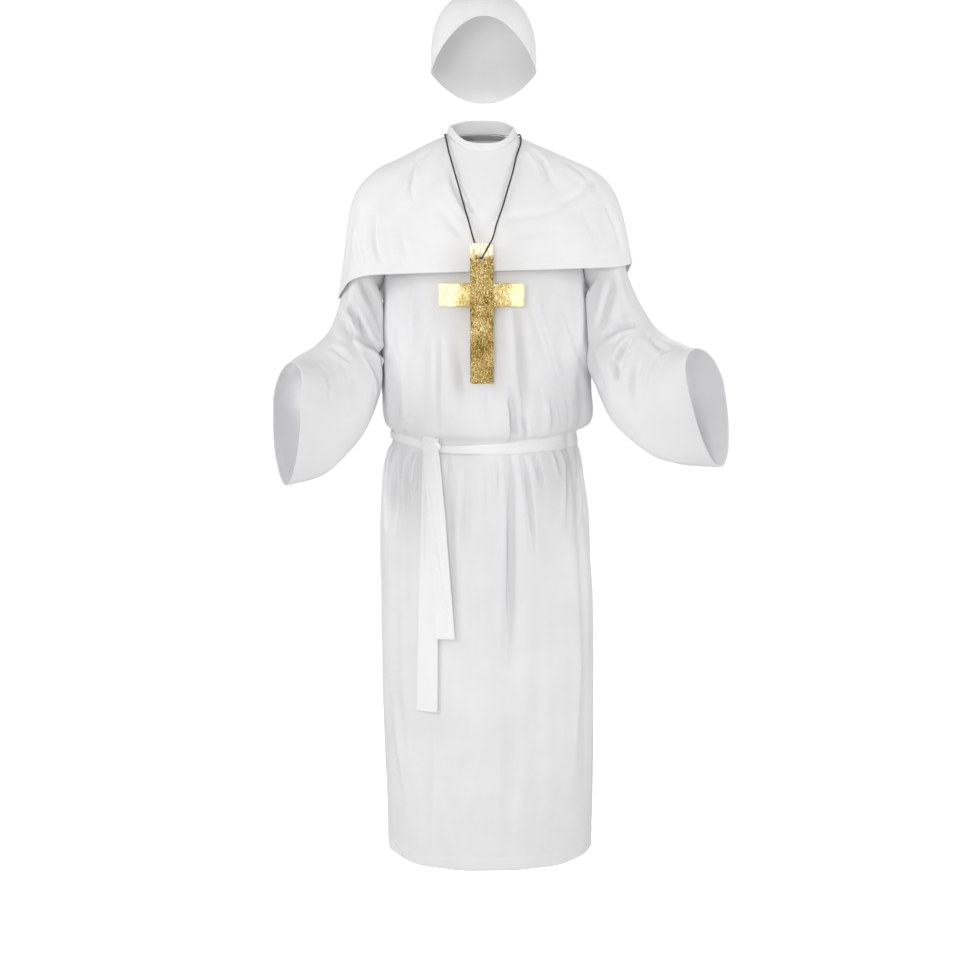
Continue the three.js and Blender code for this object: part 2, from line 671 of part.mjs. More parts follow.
function cordTube() {
  const route = new THREE.CatmullRomCurve3(CORD_ROUTE.map((point) => new THREE.Vector3(...point)));
  const section = new THREE.Shape();
  for (let k = 0; k < CORD_SIDES; k += 1) {
    const angle = (2 * Math.PI * k) / CORD_SIDES;
    const x = (CORD_DIAMETER / 2) * Math.cos(angle);
    const y = (CORD_DIAMETER / 2) * Math.sin(angle);
    if (k === 0) section.moveTo(x, y);
    else section.lineTo(x, y);
  }
  return new THREE.ExtrudeGeometry(section, { steps: CORD_STEPS, extrudePath: route, bevelEnabled: false });
}

const whiteCloth = { color: 0xf1f1f1, roughness: 0.7, metalness: 0 };
const capeCloth = { color: 0xf6f6f5, roughness: 0.65, metalness: 0 };
const tapeCloth = { color: 0xf5f5f5, roughness: 0.6, metalness: 0 };
const foil = { color: 0xc9a13b, roughness: 0.35, metalness: 0.9 };
const paleFoil = { color: 0xe6d08a, roughness: 0.3, metalness: 0.9 };
const darkCord = { color: 0x2c2725, roughness: 0.8, metalness: 0 };

const group = new THREE.Group();

function place(name, geometry, look) {
  const mesh = new THREE.Mesh(geometry, new THREE.MeshStandardMaterial(look));
  mesh.name = name;
  group.add(mesh);
  return mesh;
}

const ROBE_PARTS = [['yoke', YOKE_ROWS.length], ['robe', BODICE_ROWS.length], ['skirt', SKIRT_ROWS.length]];
for (const [side, start, end] of [['front', -90, 90], ['back', 90, 270]]) {
  const grids = robePanel(start, end);
  let from = 0;
  for (const [part, count] of ROBE_PARTS) {
    const [outer, inner] = grids.map((grid) => grid.slice(from, from + count));
    place(`${part}_${side}`, clothWall(outer, inner), whiteCloth);
    from += count;
  }
}
for (const [arm, side, sections] of [['right', -1, RIGHT_ARM], ['left', 1, LEFT_ARM]]) {
  const grids = sleeveGrids(side, sections);
  for (const [part, ...span] of [['sleeve', 0, ELBOW_ROW + 1], ['bell', ELBOW_ROW + 1]]) {
    const [outer, inner] = grids.map((grid) => grid.slice(...span));
    place(`${part}_${arm}_arm`, clothWall(outer, inner, { ringed: true, turned: side > 0 }), whiteCloth);
  }
}
place('cape_front', capePanel(-90, 90), capeCloth);
place('cape_back', capePanel(90, 270), capeCloth);
place('collar', collarWall(), capeCloth);
place('belt_band', beltBand(), tapeCloth);
place('belt_tail_long', tailWall(LONG_TAIL), tapeCloth);
place('belt_tail_short', tailWall(SHORT_TAIL), tapeCloth);
place('cap', capWall(), capeCloth);

const knot = place('belt_knot', knotSolid(), tapeCloth);
const knotSeat = BELT_CLEAR + BELT_LAYERS + KNOT.clear + KNOT.deep;
knot.position.copy(robePoint(KNOT.turn, BELT_AT, knotSeat));
const knotFacing = knot.position.clone().sub(robePoint(KNOT.turn, BELT_AT));
knot.rotation.z = Math.atan2(knotFacing.x, -knotFacing.y);

const hole = { x: CROSS.holeX, z: CROSS.holeZ, radius: CROSS.holeRadius };
const { uprightLeft, uprightRight, foot, top, face, uprightThick } = CROSS;
place('cross_upright', flatBar(uprightLeft, uprightRight, foot, top, face, uprightThick, hole), foil);
const barFace = face + uprightThick + SEAM;
const { barLeft, barRight, barFoot, barTop, barThick } = CROSS;
place('cross_bar', flatBar(barLeft, barRight, barFoot, barTop, barFace, barThick), paleFoil);

place('neck_cord', cordTube(), darkCord);

export default group;
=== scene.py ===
# A fancy-dress papal costume as it is worn: long white robe with bell sleeves, shoulder cape with a soft
# collar, tie belt, close cap and a gilt cross on a thin cord. +Z up, front towards -Y, the wearer's right
# on -X. Tables and forms are in millimetres and meshes become metres when they are made.
import math

import bmesh
import bpy
import numpy as np
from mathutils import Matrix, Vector
from mathutils.bvhtree import BVHTree


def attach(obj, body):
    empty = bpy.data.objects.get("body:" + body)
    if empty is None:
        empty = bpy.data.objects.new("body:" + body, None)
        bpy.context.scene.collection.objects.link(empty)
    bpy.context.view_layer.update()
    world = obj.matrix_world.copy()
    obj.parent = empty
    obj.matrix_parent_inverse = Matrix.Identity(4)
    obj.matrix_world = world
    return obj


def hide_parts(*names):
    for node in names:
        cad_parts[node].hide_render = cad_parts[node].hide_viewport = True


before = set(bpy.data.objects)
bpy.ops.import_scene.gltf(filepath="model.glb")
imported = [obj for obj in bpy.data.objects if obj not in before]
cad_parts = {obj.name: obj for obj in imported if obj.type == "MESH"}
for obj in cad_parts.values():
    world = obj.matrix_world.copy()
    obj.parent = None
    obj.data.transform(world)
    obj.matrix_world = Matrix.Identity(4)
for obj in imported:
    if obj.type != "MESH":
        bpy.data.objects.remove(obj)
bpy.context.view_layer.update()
MM = 0.001
rad = np.radians


def linear(code):
    """Colour from an sRGB hex value, turned linear."""
    parts = [int(code[k:k + 2], 16) / 255 for k in (1, 3, 5)]
    return [c / 12.92 if c <= 0.04045 else ((c + 0.055) / 1.055) ** 2.4 for c in parts] + [1.0]


def put(name, data):
    """A new object in the scene."""
    made = bpy.data.objects.new(name, data)
    bpy.context.scene.collection.objects.link(made)
    return made


# Camera at the photograph's height, 3.6 m in front of the wearer and looking slightly down
CAMERA_AT = (0, -3.6, -0.26792)
CAMERA_PITCH = 5.782
LENS = 73.48
SENSOR = 36
lens = bpy.data.cameras.new("camera")
lens.lens = LENS
lens.sensor_width = SENSOR
lens.sensor_fit = "HORIZONTAL"
lens.clip_end = 60
camera = put("camera", lens)
camera.location = CAMERA_AT
camera.rotation_euler = (math.radians(90 - CAMERA_PITCH), 0, 0)
bpy.context.scene.camera = camera


# Route of the neck cord: from the hole's front up to the wearer's left shoulder, round the back of the
# neck, down the right and behind the cross to the hole's other side
CORD_DIAMETER = 3
CORD_ROUTE = [
    (-7, -153, -224), (-1, -153.4, -213.5), (8, -153.8, -197.5), (13.5, -147, -186.5), (20, -134, -163),
    (31, -116, -131), (40, -101, -100), (48, -85.2, -73), (56, -61.8, -40), (60.5, -51, -27),
    (63.5, -38.5, -16.5), (64, -22, -6.4), (62, 0, 0.6), (57.5, 24, 1.2), (47, 46, 3.2), (28, 61, 5),
    (0, 66.5, 6), (-30, 64.5, 4.6), (-54, 49, 3.4), (-67, 27, 2.2), (-71.5, 4, 1.4), (-71.5, -17, -1.8),
    (-69, -35, -11.4), (-64, -58.5, -34), (-60, -68.5, -48), (-52, -87, -76), (-45, -99.4, -100),
    (-37, -112, -129), (-28, -126, -160), (-18.5, -140, -194), (-12, -143.4, -211), (-7, -144, -224),
]


def smooth_route(points, steps):
    """Centripetal curve through the points, with the given steps between each pair."""
    points = np.array(points, float)
    ends = np.vstack([2 * points[0] - points[1], points, 2 * points[-1] - points[-2]])
    line = []
    for k in range(1, len(ends) - 2):
        p = ends[k - 1:k + 3]
        knots = np.concatenate([[0], np.cumsum(np.sqrt(np.linalg.norm(np.diff(p, axis=0), axis=1)))])
        t = np.linspace(knots[1], knots[2], steps, endpoint=False)[:, None]

        def mix(low, high, a, b):
            return ((knots[high] - t) * a + (t - knots[low]) * b) / (knots[high] - knots[low])

        first, second, third = mix(0, 1, p[0], p[1]), mix(1, 2, p[1], p[2]), mix(2, 3, p[2], p[3])
        line.append(mix(1, 2, mix(0, 2, first, second), mix(1, 3, second, third)))
    return np.vstack(line + [points[-1:]])


# Driving dimensions of the cloth, as the solids have them
SEAM = 0.3
ROUNDNESS = 2.2
NECK_TO_HEM = 1300
ARMPIT = 270
BELT_AT = 540
BELT_LAYERS = 3
BELT_CLEAR = 0.5
BELT_SAG = 15
BELT_REACH = 150
HEM_LIFT = 9
HEM_LIFT_FROM = 1100

# Girth of the robe by the drop below the neck: half widths to the wearer's right and left, depths
ROBE = np.array([
    # drop, left, right, front, back
    (270, 184, 181, 122, 112), (390, 187, 187, 124, 110), (460, 187, 192, 128, 108),
    (500, 186, 195, 132, 108), (520, 181, 187, 131, 105), (529, 170, 166, 122, 96),
    (551, 170, 166, 122, 96), (568, 179, 171, 128, 101), (600, 186, 178, 132, 108),
    (680, 190, 187, 139, 118), (800, 191, 196, 148, 128), (950, 189, 201, 158, 140),
    (1120, 184, 202, 169, 154), (1300, 178, 198, 180, 168),
], float)

# Folds of the robe: place round the body in degrees from the front centre (plus is the wearer's left),
# where each starts and ends below the neck, height (minus is a trough) and half width in degrees
ROBE_FOLDS = [
    (-74, 555, 700, -6, 4), (-62, 340, 505, -6, 5), (-55, 555, 690, -7, 4), (-47, 555, 1230, 5, 5),
    (-28, 350, 525, -5, 4), (-15, 395, 525, 4, 5), (6, 300, 525, 4, 5), (13, 380, 1000, -8, 4),
    (22, 556, 740, -5, 4), (31, 556, 690, -5, 4), (40, 290, 525, -6, 5), (50, 555, 1230, 6, 6),
    (63, 300, 1240, -6, 5), (76, 555, 740, -5, 4), (108, 330, 760, -6, 5), (124, 410, 900, -7, 5),
    (140, 550, 1180, 6, 6), (156, 350, 780, -6, 5), (172, 420, 980, -7, 5), (189, 380, 720, -5, 5),
    (205, 340, 1010, -7, 5), (221, 550, 1200, 6, 6), (237, 400, 820, -6, 5), (252, 320, 700, -6, 5),
]

# Yoke of the robe, under the cape: neck opening, tips of the shoulders, bow
NECK_CENTRE, NECK_HALF, NECK_SHARE = -5, 69, 0.42
NECK_FRONT, NECK_BACK = 62, 66
SIDE_DROP, FRONT_DROP, BACK_DROP = 7.7, 50, 6
TIP_LEFT, TIP_RIGHT, TIP_DROP = 192, 190, 69
YOKE_BOW, YOKE_PINCH = 58, 14

# Rings of the cape from the neck to the hem, and of the collar from its seam to its free edge
CAPE = np.array([
    # left, right, front, back, left drop, right drop, front drop, back drop
    (68, 58, 58, 62, 0, 2, 34, -6), (105, 100, 78, 88, 16, 20, 64, 12),
    (155, 150, 98, 108, 42, 42, 98, 36), (195, 195, 112, 120, 63, 63, 128, 70),
    (226, 226, 121, 127, 92, 92, 156, 112), (243, 246, 127, 132, 130, 132, 185, 160),
    (254, 258, 131, 136, 198, 184, 214, 222), (265, 266, 134, 139, 284, 236, 244, 290),
], float)
COLLAR = np.array([
    (68, 58, 58, 62, -0.4, 1.6, 33.6, -6.4), (67, 57, 57, 62, -7, -5, 27, -16),
    (63, 53, 54, 60, -18, -14, 18, -30),
], float)
HEM_LEVEL = 12
HEM_TILT = 0.03
CAPE_FOLDS = [
    (-76, 4.6, 7.4, -4, 6), (-58, 2, 7, -4, 6), (-38, 1, 5, -5, 6), (-10, 1.2, 5.4, -4, 6),
    (22, 3.6, 7, -3, 7), (46, 0.8, 5, -5, 6), (70, 4.4, 7.4, -4, 6), (112, 2.6, 7.4, -5, 7),
    (146, 1.4, 6.4, -5, 7), (178, 2.8, 7.4, 4, 8), (212, 1.2, 6, -5, 7), (246, 3, 7.4, -5, 7),
]

# Sleeves: each section's over, front, under and back point, after the armhole
RIGHT_ARM = np.array([
    [(-232, 0, -145), (-216, -56, -205), (-192, 0, -284), (-216, 58, -205)],
    [(-253, 0, -250), (-229, -54, -280), (-193, 0, -316), (-228, 58, -285)],
    [(-272, -10, -334), (-229, -64, -345), (-191, -15, -452), (-245, 60, -385)],
    [(-298, -58, -370), (-225, -95, -410), (-217, -62, -526), (-286, 28, -430)],
    [(-323, -130, -392), (-262, -152, -448), (-276, -145, -592), (-336, -98, -452)],
    [(-331, -216, -399), (-312, -236, -452), (-342, -212, -612), (-366, -196, -462)],
], float)
LEFT_ARM = np.array([
    [(233, 0, -145), (217, -57, -205), (190, 0, -284), (217, 59, -205)],
    [(260, 0, -256), (232, -56, -280), (196, 0, -316), (230, 60, -285)],
    [(294, -8, -324), (234, -64, -340), (198, -12, -425), (252, 60, -375)],
    [(317, -52, -353), (238, -95, -398), (230, -60, -508), (298, 28, -415)],
    [(343, -125, -370), (286, -155, -435), (305, -152, -570), (354, -95, -440)],
    [(366, -212, -376), (343, -236, -430), (405, -206, -580), (412, -190, -440)],
], float)
SLEEVE_FOLDS = [
    (40, 1.4, 2.9, -5, 16), (78, 2.4, 4.2, -7, 14), (118, 3, 5.6, 6, 16), (262, 2.2, 4.4, -6, 16),
    (300, 3.4, 5.8, 4, 16),
]

# Cap: centre, half sizes, heights above and below, fullness, levels of the rim
CAP_CENTRE = (-2, 8, 128)
CAP_SIZE = (95, 94, 98, 108)
CAP_UP, CAP_DOWN = 124, 150
CAP_FULLNESS = 2.5
RIM_FRONT, RIM_SIDE, RIM_BACK = 72, -16, -62


# Forms of the cloth

def through(keys, at, place):
    """Smooth curve through the keys at each place. The keys are one row for each value of at."""
    keys = np.asarray(keys, float)
    at = np.asarray(at, float)
    lead = (slice(None),) + (None,) * (keys.ndim - 1)
    slope = np.empty_like(keys)
    slope[1:-1] = (keys[2:] - keys[:-2]) / (at[2:] - at[:-2])[lead]
    slope[0] = (keys[1] - keys[0]) / (at[1] - at[0])
    slope[-1] = (keys[-1] - keys[-2]) / (at[-1] - at[-2])
    i = np.clip(np.searchsorted(at, place, side="left") - 1, 0, len(at) - 2)
    span = at[i + 1] - at[i]
    t = np.clip((place - at[i]) / span, 0, 1)

    def pick(values, k):
        return values[k] if keys.ndim < 3 else values[k, np.arange(len(k))]

    t, span = t[:, None], span[:, None]
    start = pick(keys, i) * (2 * t ** 3 - 3 * t ** 2 + 1) + pick(keys, i + 1) * (3 * t ** 2 - 2 * t ** 3)
    leave = pick(slope, i) * span * (t ** 3 - 2 * t ** 2 + t)
    return start + leave + pick(slope, i + 1) * span * (t ** 3 - t ** 2)


def on_ring(size, turn):
    """Points of rounded rings, by the angle from the front centre."""
    left, right, front, back = size.T[:4]
    power = 2 / ROUNDNESS
    side, ahead = np.sin(rad(turn)), np.cos(rad(turn))
    half = np.where(side > 0, right, left)
    depth = np.where(ahead > 0, front, back)
    x = half * np.sign(side) * np.abs(side) ** power
    y = -depth * np.sign(ahead) * np.abs(ahead) ** power
    return np.stack([x, y, np.zeros_like(x)], axis=1), half, depth


def unit(vectors):
    return vectors / np.maximum(np.linalg.norm(vectors, axis=-1, keepdims=True), 1e-9)


def peak(away, width, power=2):
    """Soft peak: 1 in the middle, falling off over the width."""
    return np.exp(-(away / width) ** power)


def off_front(turn):
    """Degrees from the front centre, without a sign."""
    return np.abs((turn + 180) % 360 - 180)


def fold_height(folds, turn, place):
    height = np.zeros_like(turn, dtype=float)
    for at, start, end, depth, width in folds:
        share = np.clip((place - start) / (end - start), 0, 1)
        apart = np.abs(turn - at) % 360
        apart = np.minimum(apart, 360 - apart)
        height += depth * peak(apart, width) * np.sin(np.pi * share ** 0.7).clip(0) ** 0.8
    return height


def robe_point(turn, drop, lift=0.0):
    """Points of the robe below the armpits. The belt sags at the front and takes the cloth with it."""
    point, half, depth = on_ring(through(ROBE[:, 1:], ROBE[:, 0], drop), turn)
    outward = unit(np.stack([point[:, 0] / half ** 2, point[:, 1] / depth ** 2, 0 * turn], axis=1))
    point += outward * (fold_height(ROBE_FOLDS, turn, drop) + lift)[:, None]
    near = np.cos(np.clip((drop - BELT_AT) / BELT_REACH, -1, 1) * np.pi / 2) ** 2
    ahead = np.cos(rad(turn)).clip(0) ** 2
    hem = np.clip((drop - HEM_LIFT_FROM) / (NECK_TO_HEM - HEM_LIFT_FROM), 0, 1)
    point[:, 2] = HEM_LIFT * hem * np.abs(np.sin(rad(turn))) ** 6 - drop - BELT_SAG * near * ahead
    return point


def yoke_point(turn, share, forward):
    """Points between the shoulder seam and the armpits. Forward is -1 in front and 1 behind."""
    foot = robe_point(turn, np.full_like(turn, ARMPIT))
    away = off_front(turn)
    edge = np.clip(np.where(away > 90, 180 - away, away) / 90, 0, 1)
    side = np.sign(np.sin(rad(turn)))
    swing = np.clip(edge / NECK_SHARE, 0, 1) * np.pi / 2
    run = np.clip((edge - NECK_SHARE) / (1 - NECK_SHARE), 0, 1)
    neck_drop = np.where(forward < 0, FRONT_DROP, BACK_DROP)
    neck_x = NECK_CENTRE + side * NECK_HALF * np.sin(swing)
    tip = np.where(side > 0, TIP_RIGHT, -TIP_LEFT)
    top_x = neck_x + (tip - neck_x) * run
    top_y = np.where(forward < 0, -NECK_FRONT, NECK_BACK) * np.cos(swing)
    top_z = -(SIDE_DROP + (neck_drop - SIDE_DROP) * np.cos(swing)) - (TIP_DROP - SIDE_DROP) * run
    bow = np.sin(share * np.pi)
    x = top_x + (foot[:, 0] - top_x) * share - np.sign(foot[:, 0]) * YOKE_PINCH * bow * edge ** 3
    y = top_y + (foot[:, 1] - top_y) * np.sin(share * np.pi / 2).clip(0) ** 0.8
    y = y + forward * YOKE_BOW * bow * edge ** 2
    return np.stack([x, y, top_z + (foot[:, 2] - top_z) * share], axis=1)


# Bulge at the robe's sides: height, how far down, half height and half width in degrees
SIDE_BULGE = 4
SIDE_BULGE_AT = 365
SIDE_BULGE_HALF = 62
SIDE_BULGE_TURN = 15


def robe_surface(forward):
    """Front or back of the robe. Its sides bulge a little below the armpits, where the sleeves press."""
    def surface(turn, place):
        beside = peak(off_front(turn) - 90, SIDE_BULGE_TURN)
        bulge = SIDE_BULGE * beside * peak(place - SIDE_BULGE_AT, SIDE_BULGE_HALF, 4)
        body = robe_point(turn, np.maximum(place, ARMPIT), bulge)
        yoke = yoke_point(turn, np.minimum(place / ARMPIT, 1), np.full_like(turn, forward))
        point = np.where((place < ARMPIT)[:, None], yoke, body)
        point[:, 1] = forward * np.maximum(forward * point[:, 1], SEAM / 2)
        return point
    return surface


# Lower front of a sleeve, drawn towards the body: how far on each side, and its middle and half size
SLEEVE_DRAG = {-1: 17, 1: 23}
DRAG_TURN, DRAG_TURN_HALF = 138, 26
DRAG_AT, DRAG_HALF = 2.25, 1.12


def sleeve_surface(side, sections):
    """Surface of a sleeve. Its front hangs towards the body between the armpit and the elbow."""
    over, front, under, back = (sections[:, k][:, None] for k in range(4))
    middle = (front + back) / 2

    def line(turn, place):
        turn = turn % 360
        up, ahead = np.cos(rad(turn))[None, :, None], np.sin(rad(turn))[None, :, None]
        ring = middle + np.abs(up) * (np.where(up > 0, over, under) - middle)
        ring = ring + np.abs(ahead) * (np.where(ahead > 0, front, back) - middle)
        share = np.where(turn <= 180, turn, 360 - turn) / 180
        hole = yoke_point(np.full_like(turn, side * 90), share, np.where(turn <= 180, -1, 1))
        hole[:, 0] += side * 3 * SEAM
        return through(np.concatenate([hole[None], ring]), np.arange(len(sections) + 1), place)

    def surface(turn, place):
        point = line(turn, place)
        drag = peak(turn % 360 - DRAG_TURN, DRAG_TURN_HALF) * peak(place - DRAG_AT, DRAG_HALF, 4)
        point[:, 0] -= side * SLEEVE_DRAG[side] * drag
        axis = (line(np.full_like(turn, 90), place) + line(np.full_like(turn, 270), place)) / 2
        return point + unit(point - axis) * fold_height(SLEEVE_FOLDS, turn % 360, place)[:, None]
    return surface


def neck_surface(table, folds, forward=0):
    """Surface of the cape or the collar, by the turn and the place between its rings."""
    def surface(turn, place):
        size = through(table, np.arange(len(table)), place)
        point = on_ring(size, turn)[0]
        side_drop = np.where(point[:, 0] > 0, size[:, 5], size[:, 4])
        middle_drop = np.where(point[:, 1] < 0, size[:, 6], size[:, 7])
        level = 2 + HEM_LEVEL * (place / (len(CAPE) - 1)) ** 2
        point[:, 2] = -(middle_drop + (side_drop - middle_drop) * np.abs(np.sin(rad(turn))) ** level)
        outward = unit(point * (1, 1, 0))
        point = point + outward * fold_height(folds, turn, place)[:, None]
        if forward:
            point[:, 1] = forward * np.maximum(forward * point[:, 1], SEAM / 2)
            point[:, 2] += HEM_TILT * point[:, 0] * (place / (len(CAPE) - 1)) ** 3
        return point
    return surface


def cap_surface(turn, place):
    """Dome of the cap, from its crown at 0 to its rim at 1."""
    ahead = np.cos(rad(turn))
    rim = RIM_SIDE + (np.where(ahead > 0, RIM_FRONT, RIM_BACK) - RIM_SIDE) * ahead ** 2
    angle = np.arccos(rim / np.where(rim > 0, CAP_UP, CAP_DOWN)) * place
    tall = np.where(angle < np.pi / 2, CAP_UP, CAP_DOWN)
    height = np.cos(angle) * tall
    girth = (1 - (np.abs(height) / tall) ** CAP_FULLNESS).clip(0) ** (1 / CAP_FULLNESS)
    point = on_ring(np.tile(np.array(CAP_SIZE, float), (len(turn), 1)), turn)[0]
    return point * girth[:, None] + np.array(CAP_CENTRE) + np.outer(height, (0, 0, 1))


# Creases: start turn and place, end turn and place, bow of the line in degrees, depth (minus is a
# ridge), half width, and how far the raised lips beside it lean to one side
ROBE_CREASES = [
    # above the belt
    (-59, 376, -57, 512, 0.5, 8, 15, 0.4), (-22, 356, -23.5, 530, 0.4, 3, 8, 0.5),
    (-42, 262, -41.5, 386, 0, -3, 14, 0), (10.5, 440, 13.5, 533, 0.3, 7.5, 7, 0.3),
    (17, 482, 21, 527, 0.2, 4.5, 6, -0.3), (34.5, 461, 36.5, 518, 0.2, 5.5, 6, 0.3),
    (12.5, 302, 18.5, 530, 0.8, 4.5, 11, -0.3), (26.5, 272, 50, 470, -1.5, 4.5, 11, 0.5),
    (40.5, 272, 78, 443, -1.2, 3, 12, 0.4), (-49, 509, -30.5, 494, 0.5, 2.5, 6, 0),
    (-57, 527, -41, 512, 0, 2.5, 5, 0), (-14, 347, -7, 521, 0.6, 2, 12, 0),
    (0, 380, 0.5, 524, 0.3, 2, 9, -0.2), (26, 431, 28, 521, 0.3, 2, 7, 0.2),
    (48, 458, 48, 518, 0.3, 2.5, 6, 0),
    # below the belt
    (-74, 552, -64, 713, 0.4, 6, 7, 0.3), (-47, 550, -44, 674, 0.3, 6.5, 7, 0.4),
    (-60, 550, -57, 713, 0.6, 6, 8, 0.3), (13, 550, 9.5, 944, 0.4, 7, 9, 0.4),
    (21.5, 550, 24, 743, 0.4, 5.5, 7, 0.3), (29.5, 553, 32, 632, 0.2, 4, 6, 0.2),
    (46.5, 550, 48.5, 601, 0, 5, 6, 0), (56.5, 555, 48, 710, 0.2, 5, 7, 0.3),
    (76, 560, 58.5, 710, 0.2, 4.5, 7, -0.3), (-0.5, 563, 0.5, 680, 0.2, 2.5, 7, 0.2),
    (-37.5, 550, -40, 640, 0.2, 5, 6, 0.4),
    (6, 557, 5.5, 641, 0, 2.5, 6, 0), (-9, 575, -10.5, 749, 0.5, 2.5, 9, 0.2),
    (-20.5, 554, -18, 591, 0, 2, 6, 0), (56.5, 722, 44.5, 1244, 1.2, -3, 16, 0),
    (-61.5, 995, -49, 1193, -0.8, -3, 14, 0), (-6.5, 749, -8, 1175, 0.8, 2.5, 18, 0.3),
    (25, 821, 22.5, 1268, 0.6, 3, 18, -0.3), (-79, 1289, -53.5, 1298, 0, 5, 7, 0.5),
    (6, 980, 5, 1280, 0.6, -2.5, 20, 0), (-27.5, 1037, -31, 1289, 0.5, 2.5, 16, 0.2),
]
CAPE_CREASES = [
    (-24.5, 1.35, -0.5, 3.99, 1.5, 4.4, 9, 0.1), (60, 0.75, 44, 2.25, 0.5, 4.5, 8, 0.4),
    (6.5, 3.93, 38, 3.27, -0.9, 3.5, 10, 0.4), (36.5, 3.3, 72, 3.12, -0.6, 3, 10, 0.4),
    (4, 5.01, 32.5, 4.47, -0.6, 3.5, 10, 0.3), (-65, 1.2, -39.5, 3.12, 1.5, 3.5, 9, -0.4),
    (-56.5, 4.2, -43, 6.45, 0.6, 3.5, 8, 0.4), (-70, 5.1, -55.5, 6.54, 0.6, 3, 8, 0.3),
    (-21.5, 3.06, -8, 5.04, 1, 2.5, 10, 0.3), (72, 1.95, 64.5, 3.93, 1, 2.5, 10, 0.3),
    (49.5, 4.05, 48.5, 6.09, 0.5, 2.5, 10, 0.3), (-39, 4.2, -29, 6.48, 0.5, 2, 10, 0.2),
    (66, 4.2, 71.5, 6.12, 0.5, 3, 9, 0.3),
]
CAPE_BACK_CREASES = [
    (126, 1.2, 112, 3.6, 1, 4, 10, 0.4), (150, 3.6, 157, 6.3, 0.6, 3.5, 10, 0.3),
    (168, 1, 175, 3.3, -0.6, 3, 12, 0.3), (197, 3.2, 191, 6.4, 0.5, 4, 9, 0.4),
    (212, 1.1, 236, 3.4, -1, 4, 10, -0.4), (230, 4, 225, 6.5, 0.5, 3.5, 9, 0.3),
    (118, 4.2, 111, 6.4, 0.4, 3.5, 9, 0.3), (249, 4.1, 254, 6.2, 0.5, 3, 9, 0.3),
    (178, 4.6, 176, 6.6, 0.3, -2.5, 11, 0),
]
RIGHT_SLEEVE_CREASES = [
    (76.5, 3.17, 162, 2.57, 2, 8.5, 9, 0.4), (99, 1.55, 136.5, 2.45, 2, 5, 9, 0.3),
    (69, 2.36, 112.5, 2.93, 2, 4, 9, 0.2), (34.5, 4.04, 78, 4.07, 2, 4, 9, 0.2),
    (48, 4.91, 96, 5.21, 2, 4, 9, 0.2), (61.5, 4.28, 105, 4.55, 3, 4, 10, 0.3),
    (102, 3.14, 152, 3.5, 3, 6, 8, 0.4), (58, 2.55, 150, 3.02, 3, 6.5, 7, 0.5),
    (24, 2.7, 72, 3.3, 2, 4, 12, 0.4), (250, 1.6, 215, 2.6, 3, 4, 11, 0.3),
    (300, 2.4, 230, 3.2, 4, 4, 12, 0.3), (285, 3.6, 250, 5.2, 3, 3, 12, -0.3),
]
LEFT_SLEEVE_CREASES = [
    (112.5, 2.9, 54, 3.26, 2, 8.5, 8, 0.4), (61.5, 3.68, 93, 3.98, 2, 6.5, 8, 0.4),
    (93, 3.95, 103.5, 4.19, 0, 6, 8, 0.3), (37.5, 5.03, 97.5, 5, 2, -4, 10, 0),
    (94.5, 1.67, 115.5, 2.66, 2, 5, 9, 0.3), (33, 3.77, 36, 5.06, 2, 4, 9, 0.2),
    (70.5, 4.49, 108, 4.7, 2, 4, 9, 0.2), (130.5, 2.75, 129, 3.8, 2, 5, 9, 0.3),
    (150, 2.1, 138, 3.5, -3, 4.5, 11, 0.4),
    (255, 1.5, 220, 2.7, 3, 4, 11, 0.3), (295, 2.6, 235, 3.3, 4, 4, 12, 0.3),
    (290, 3.7, 245, 5.3, 3, 3, 12, -0.3),
]


def back_creases(count, seed, low, high):
    """Creases for the hidden back of the robe, of the kinds that show in front."""
    draw = np.random.default_rng(seed)
    rows = []
    for k in range(count):
        turn = 94 + (172 * (k + draw.uniform(0.2, 0.8))) / count
        start = draw.uniform(low, low + 50)
        end = draw.uniform(start + 70, high)
        depth = draw.choice([-2.5, 2, 2.5, 3, 4])
        lean = draw.uniform(-5, 5)
        bow = draw.uniform(-1, 1)
        rows.append((turn, start, turn + lean, end, bow, depth, draw.uniform(6, 13), lean / 12))
    return rows


# Creases: steps along one, gains on depth and width, reach in half widths, lips beside the trough
CREASE_STEPS = 13
CREASE_GAIN = 1.55
CREASE_NARROW = 0.78
CREASE_REACH = 4
LIP = 0.4
LIP_AT = 1.8
TROUGH_SHARP = 1.15
TROUGH_POWER = 1.5


def crease_height(points, normals, surface, creases):
    """Height that the creases give to the points, with soft lips beside each trough."""
    height = np.zeros(len(points))
    for turn0, place0, turn1, place1, bow, depth, width, lean in creases:
        share = np.linspace(0, 1, CREASE_STEPS)
        turn = turn0 + (turn1 - turn0) * share + bow * 4 * share * (1 - share)
        line = surface(turn, place0 + (place1 - place0) * share)
        width = width * CREASE_NARROW
        reach = CREASE_REACH * width
        near = np.all((points > line.min(axis=0) - reach) & (points < line.max(axis=0) + reach), axis=1)
        if not near.any():
            continue
        start, leg = line[:-1], np.diff(line, axis=0)
        away = points[near][:, None] - start[None]
        t = np.clip((away * leg).sum(axis=2) / (leg ** 2).sum(axis=1), 0, 1)
        gap = away - t[..., None] * leg
        distance = np.linalg.norm(gap, axis=2)
        k = distance.argmin(axis=1)
        rows = np.arange(len(k))
        side = np.sign((np.cross(gap[rows, k], leg[k]) * normals[near]).sum(axis=1))
        run = side * distance[rows, k] / width
        fade = np.sin(np.pi * (k + t[rows, k]) / len(leg)).clip(0) ** 0.7
        lips = (1 + lean) * peak(run - LIP_AT, 1) + (1 - lean) * peak(run + LIP_AT, 1)
        trough = np.exp(-TROUGH_SHARP * np.abs(run) ** TROUGH_POWER)
        height[near] += CREASE_GAIN * depth * fade * (LIP * lips - trough)
    return height


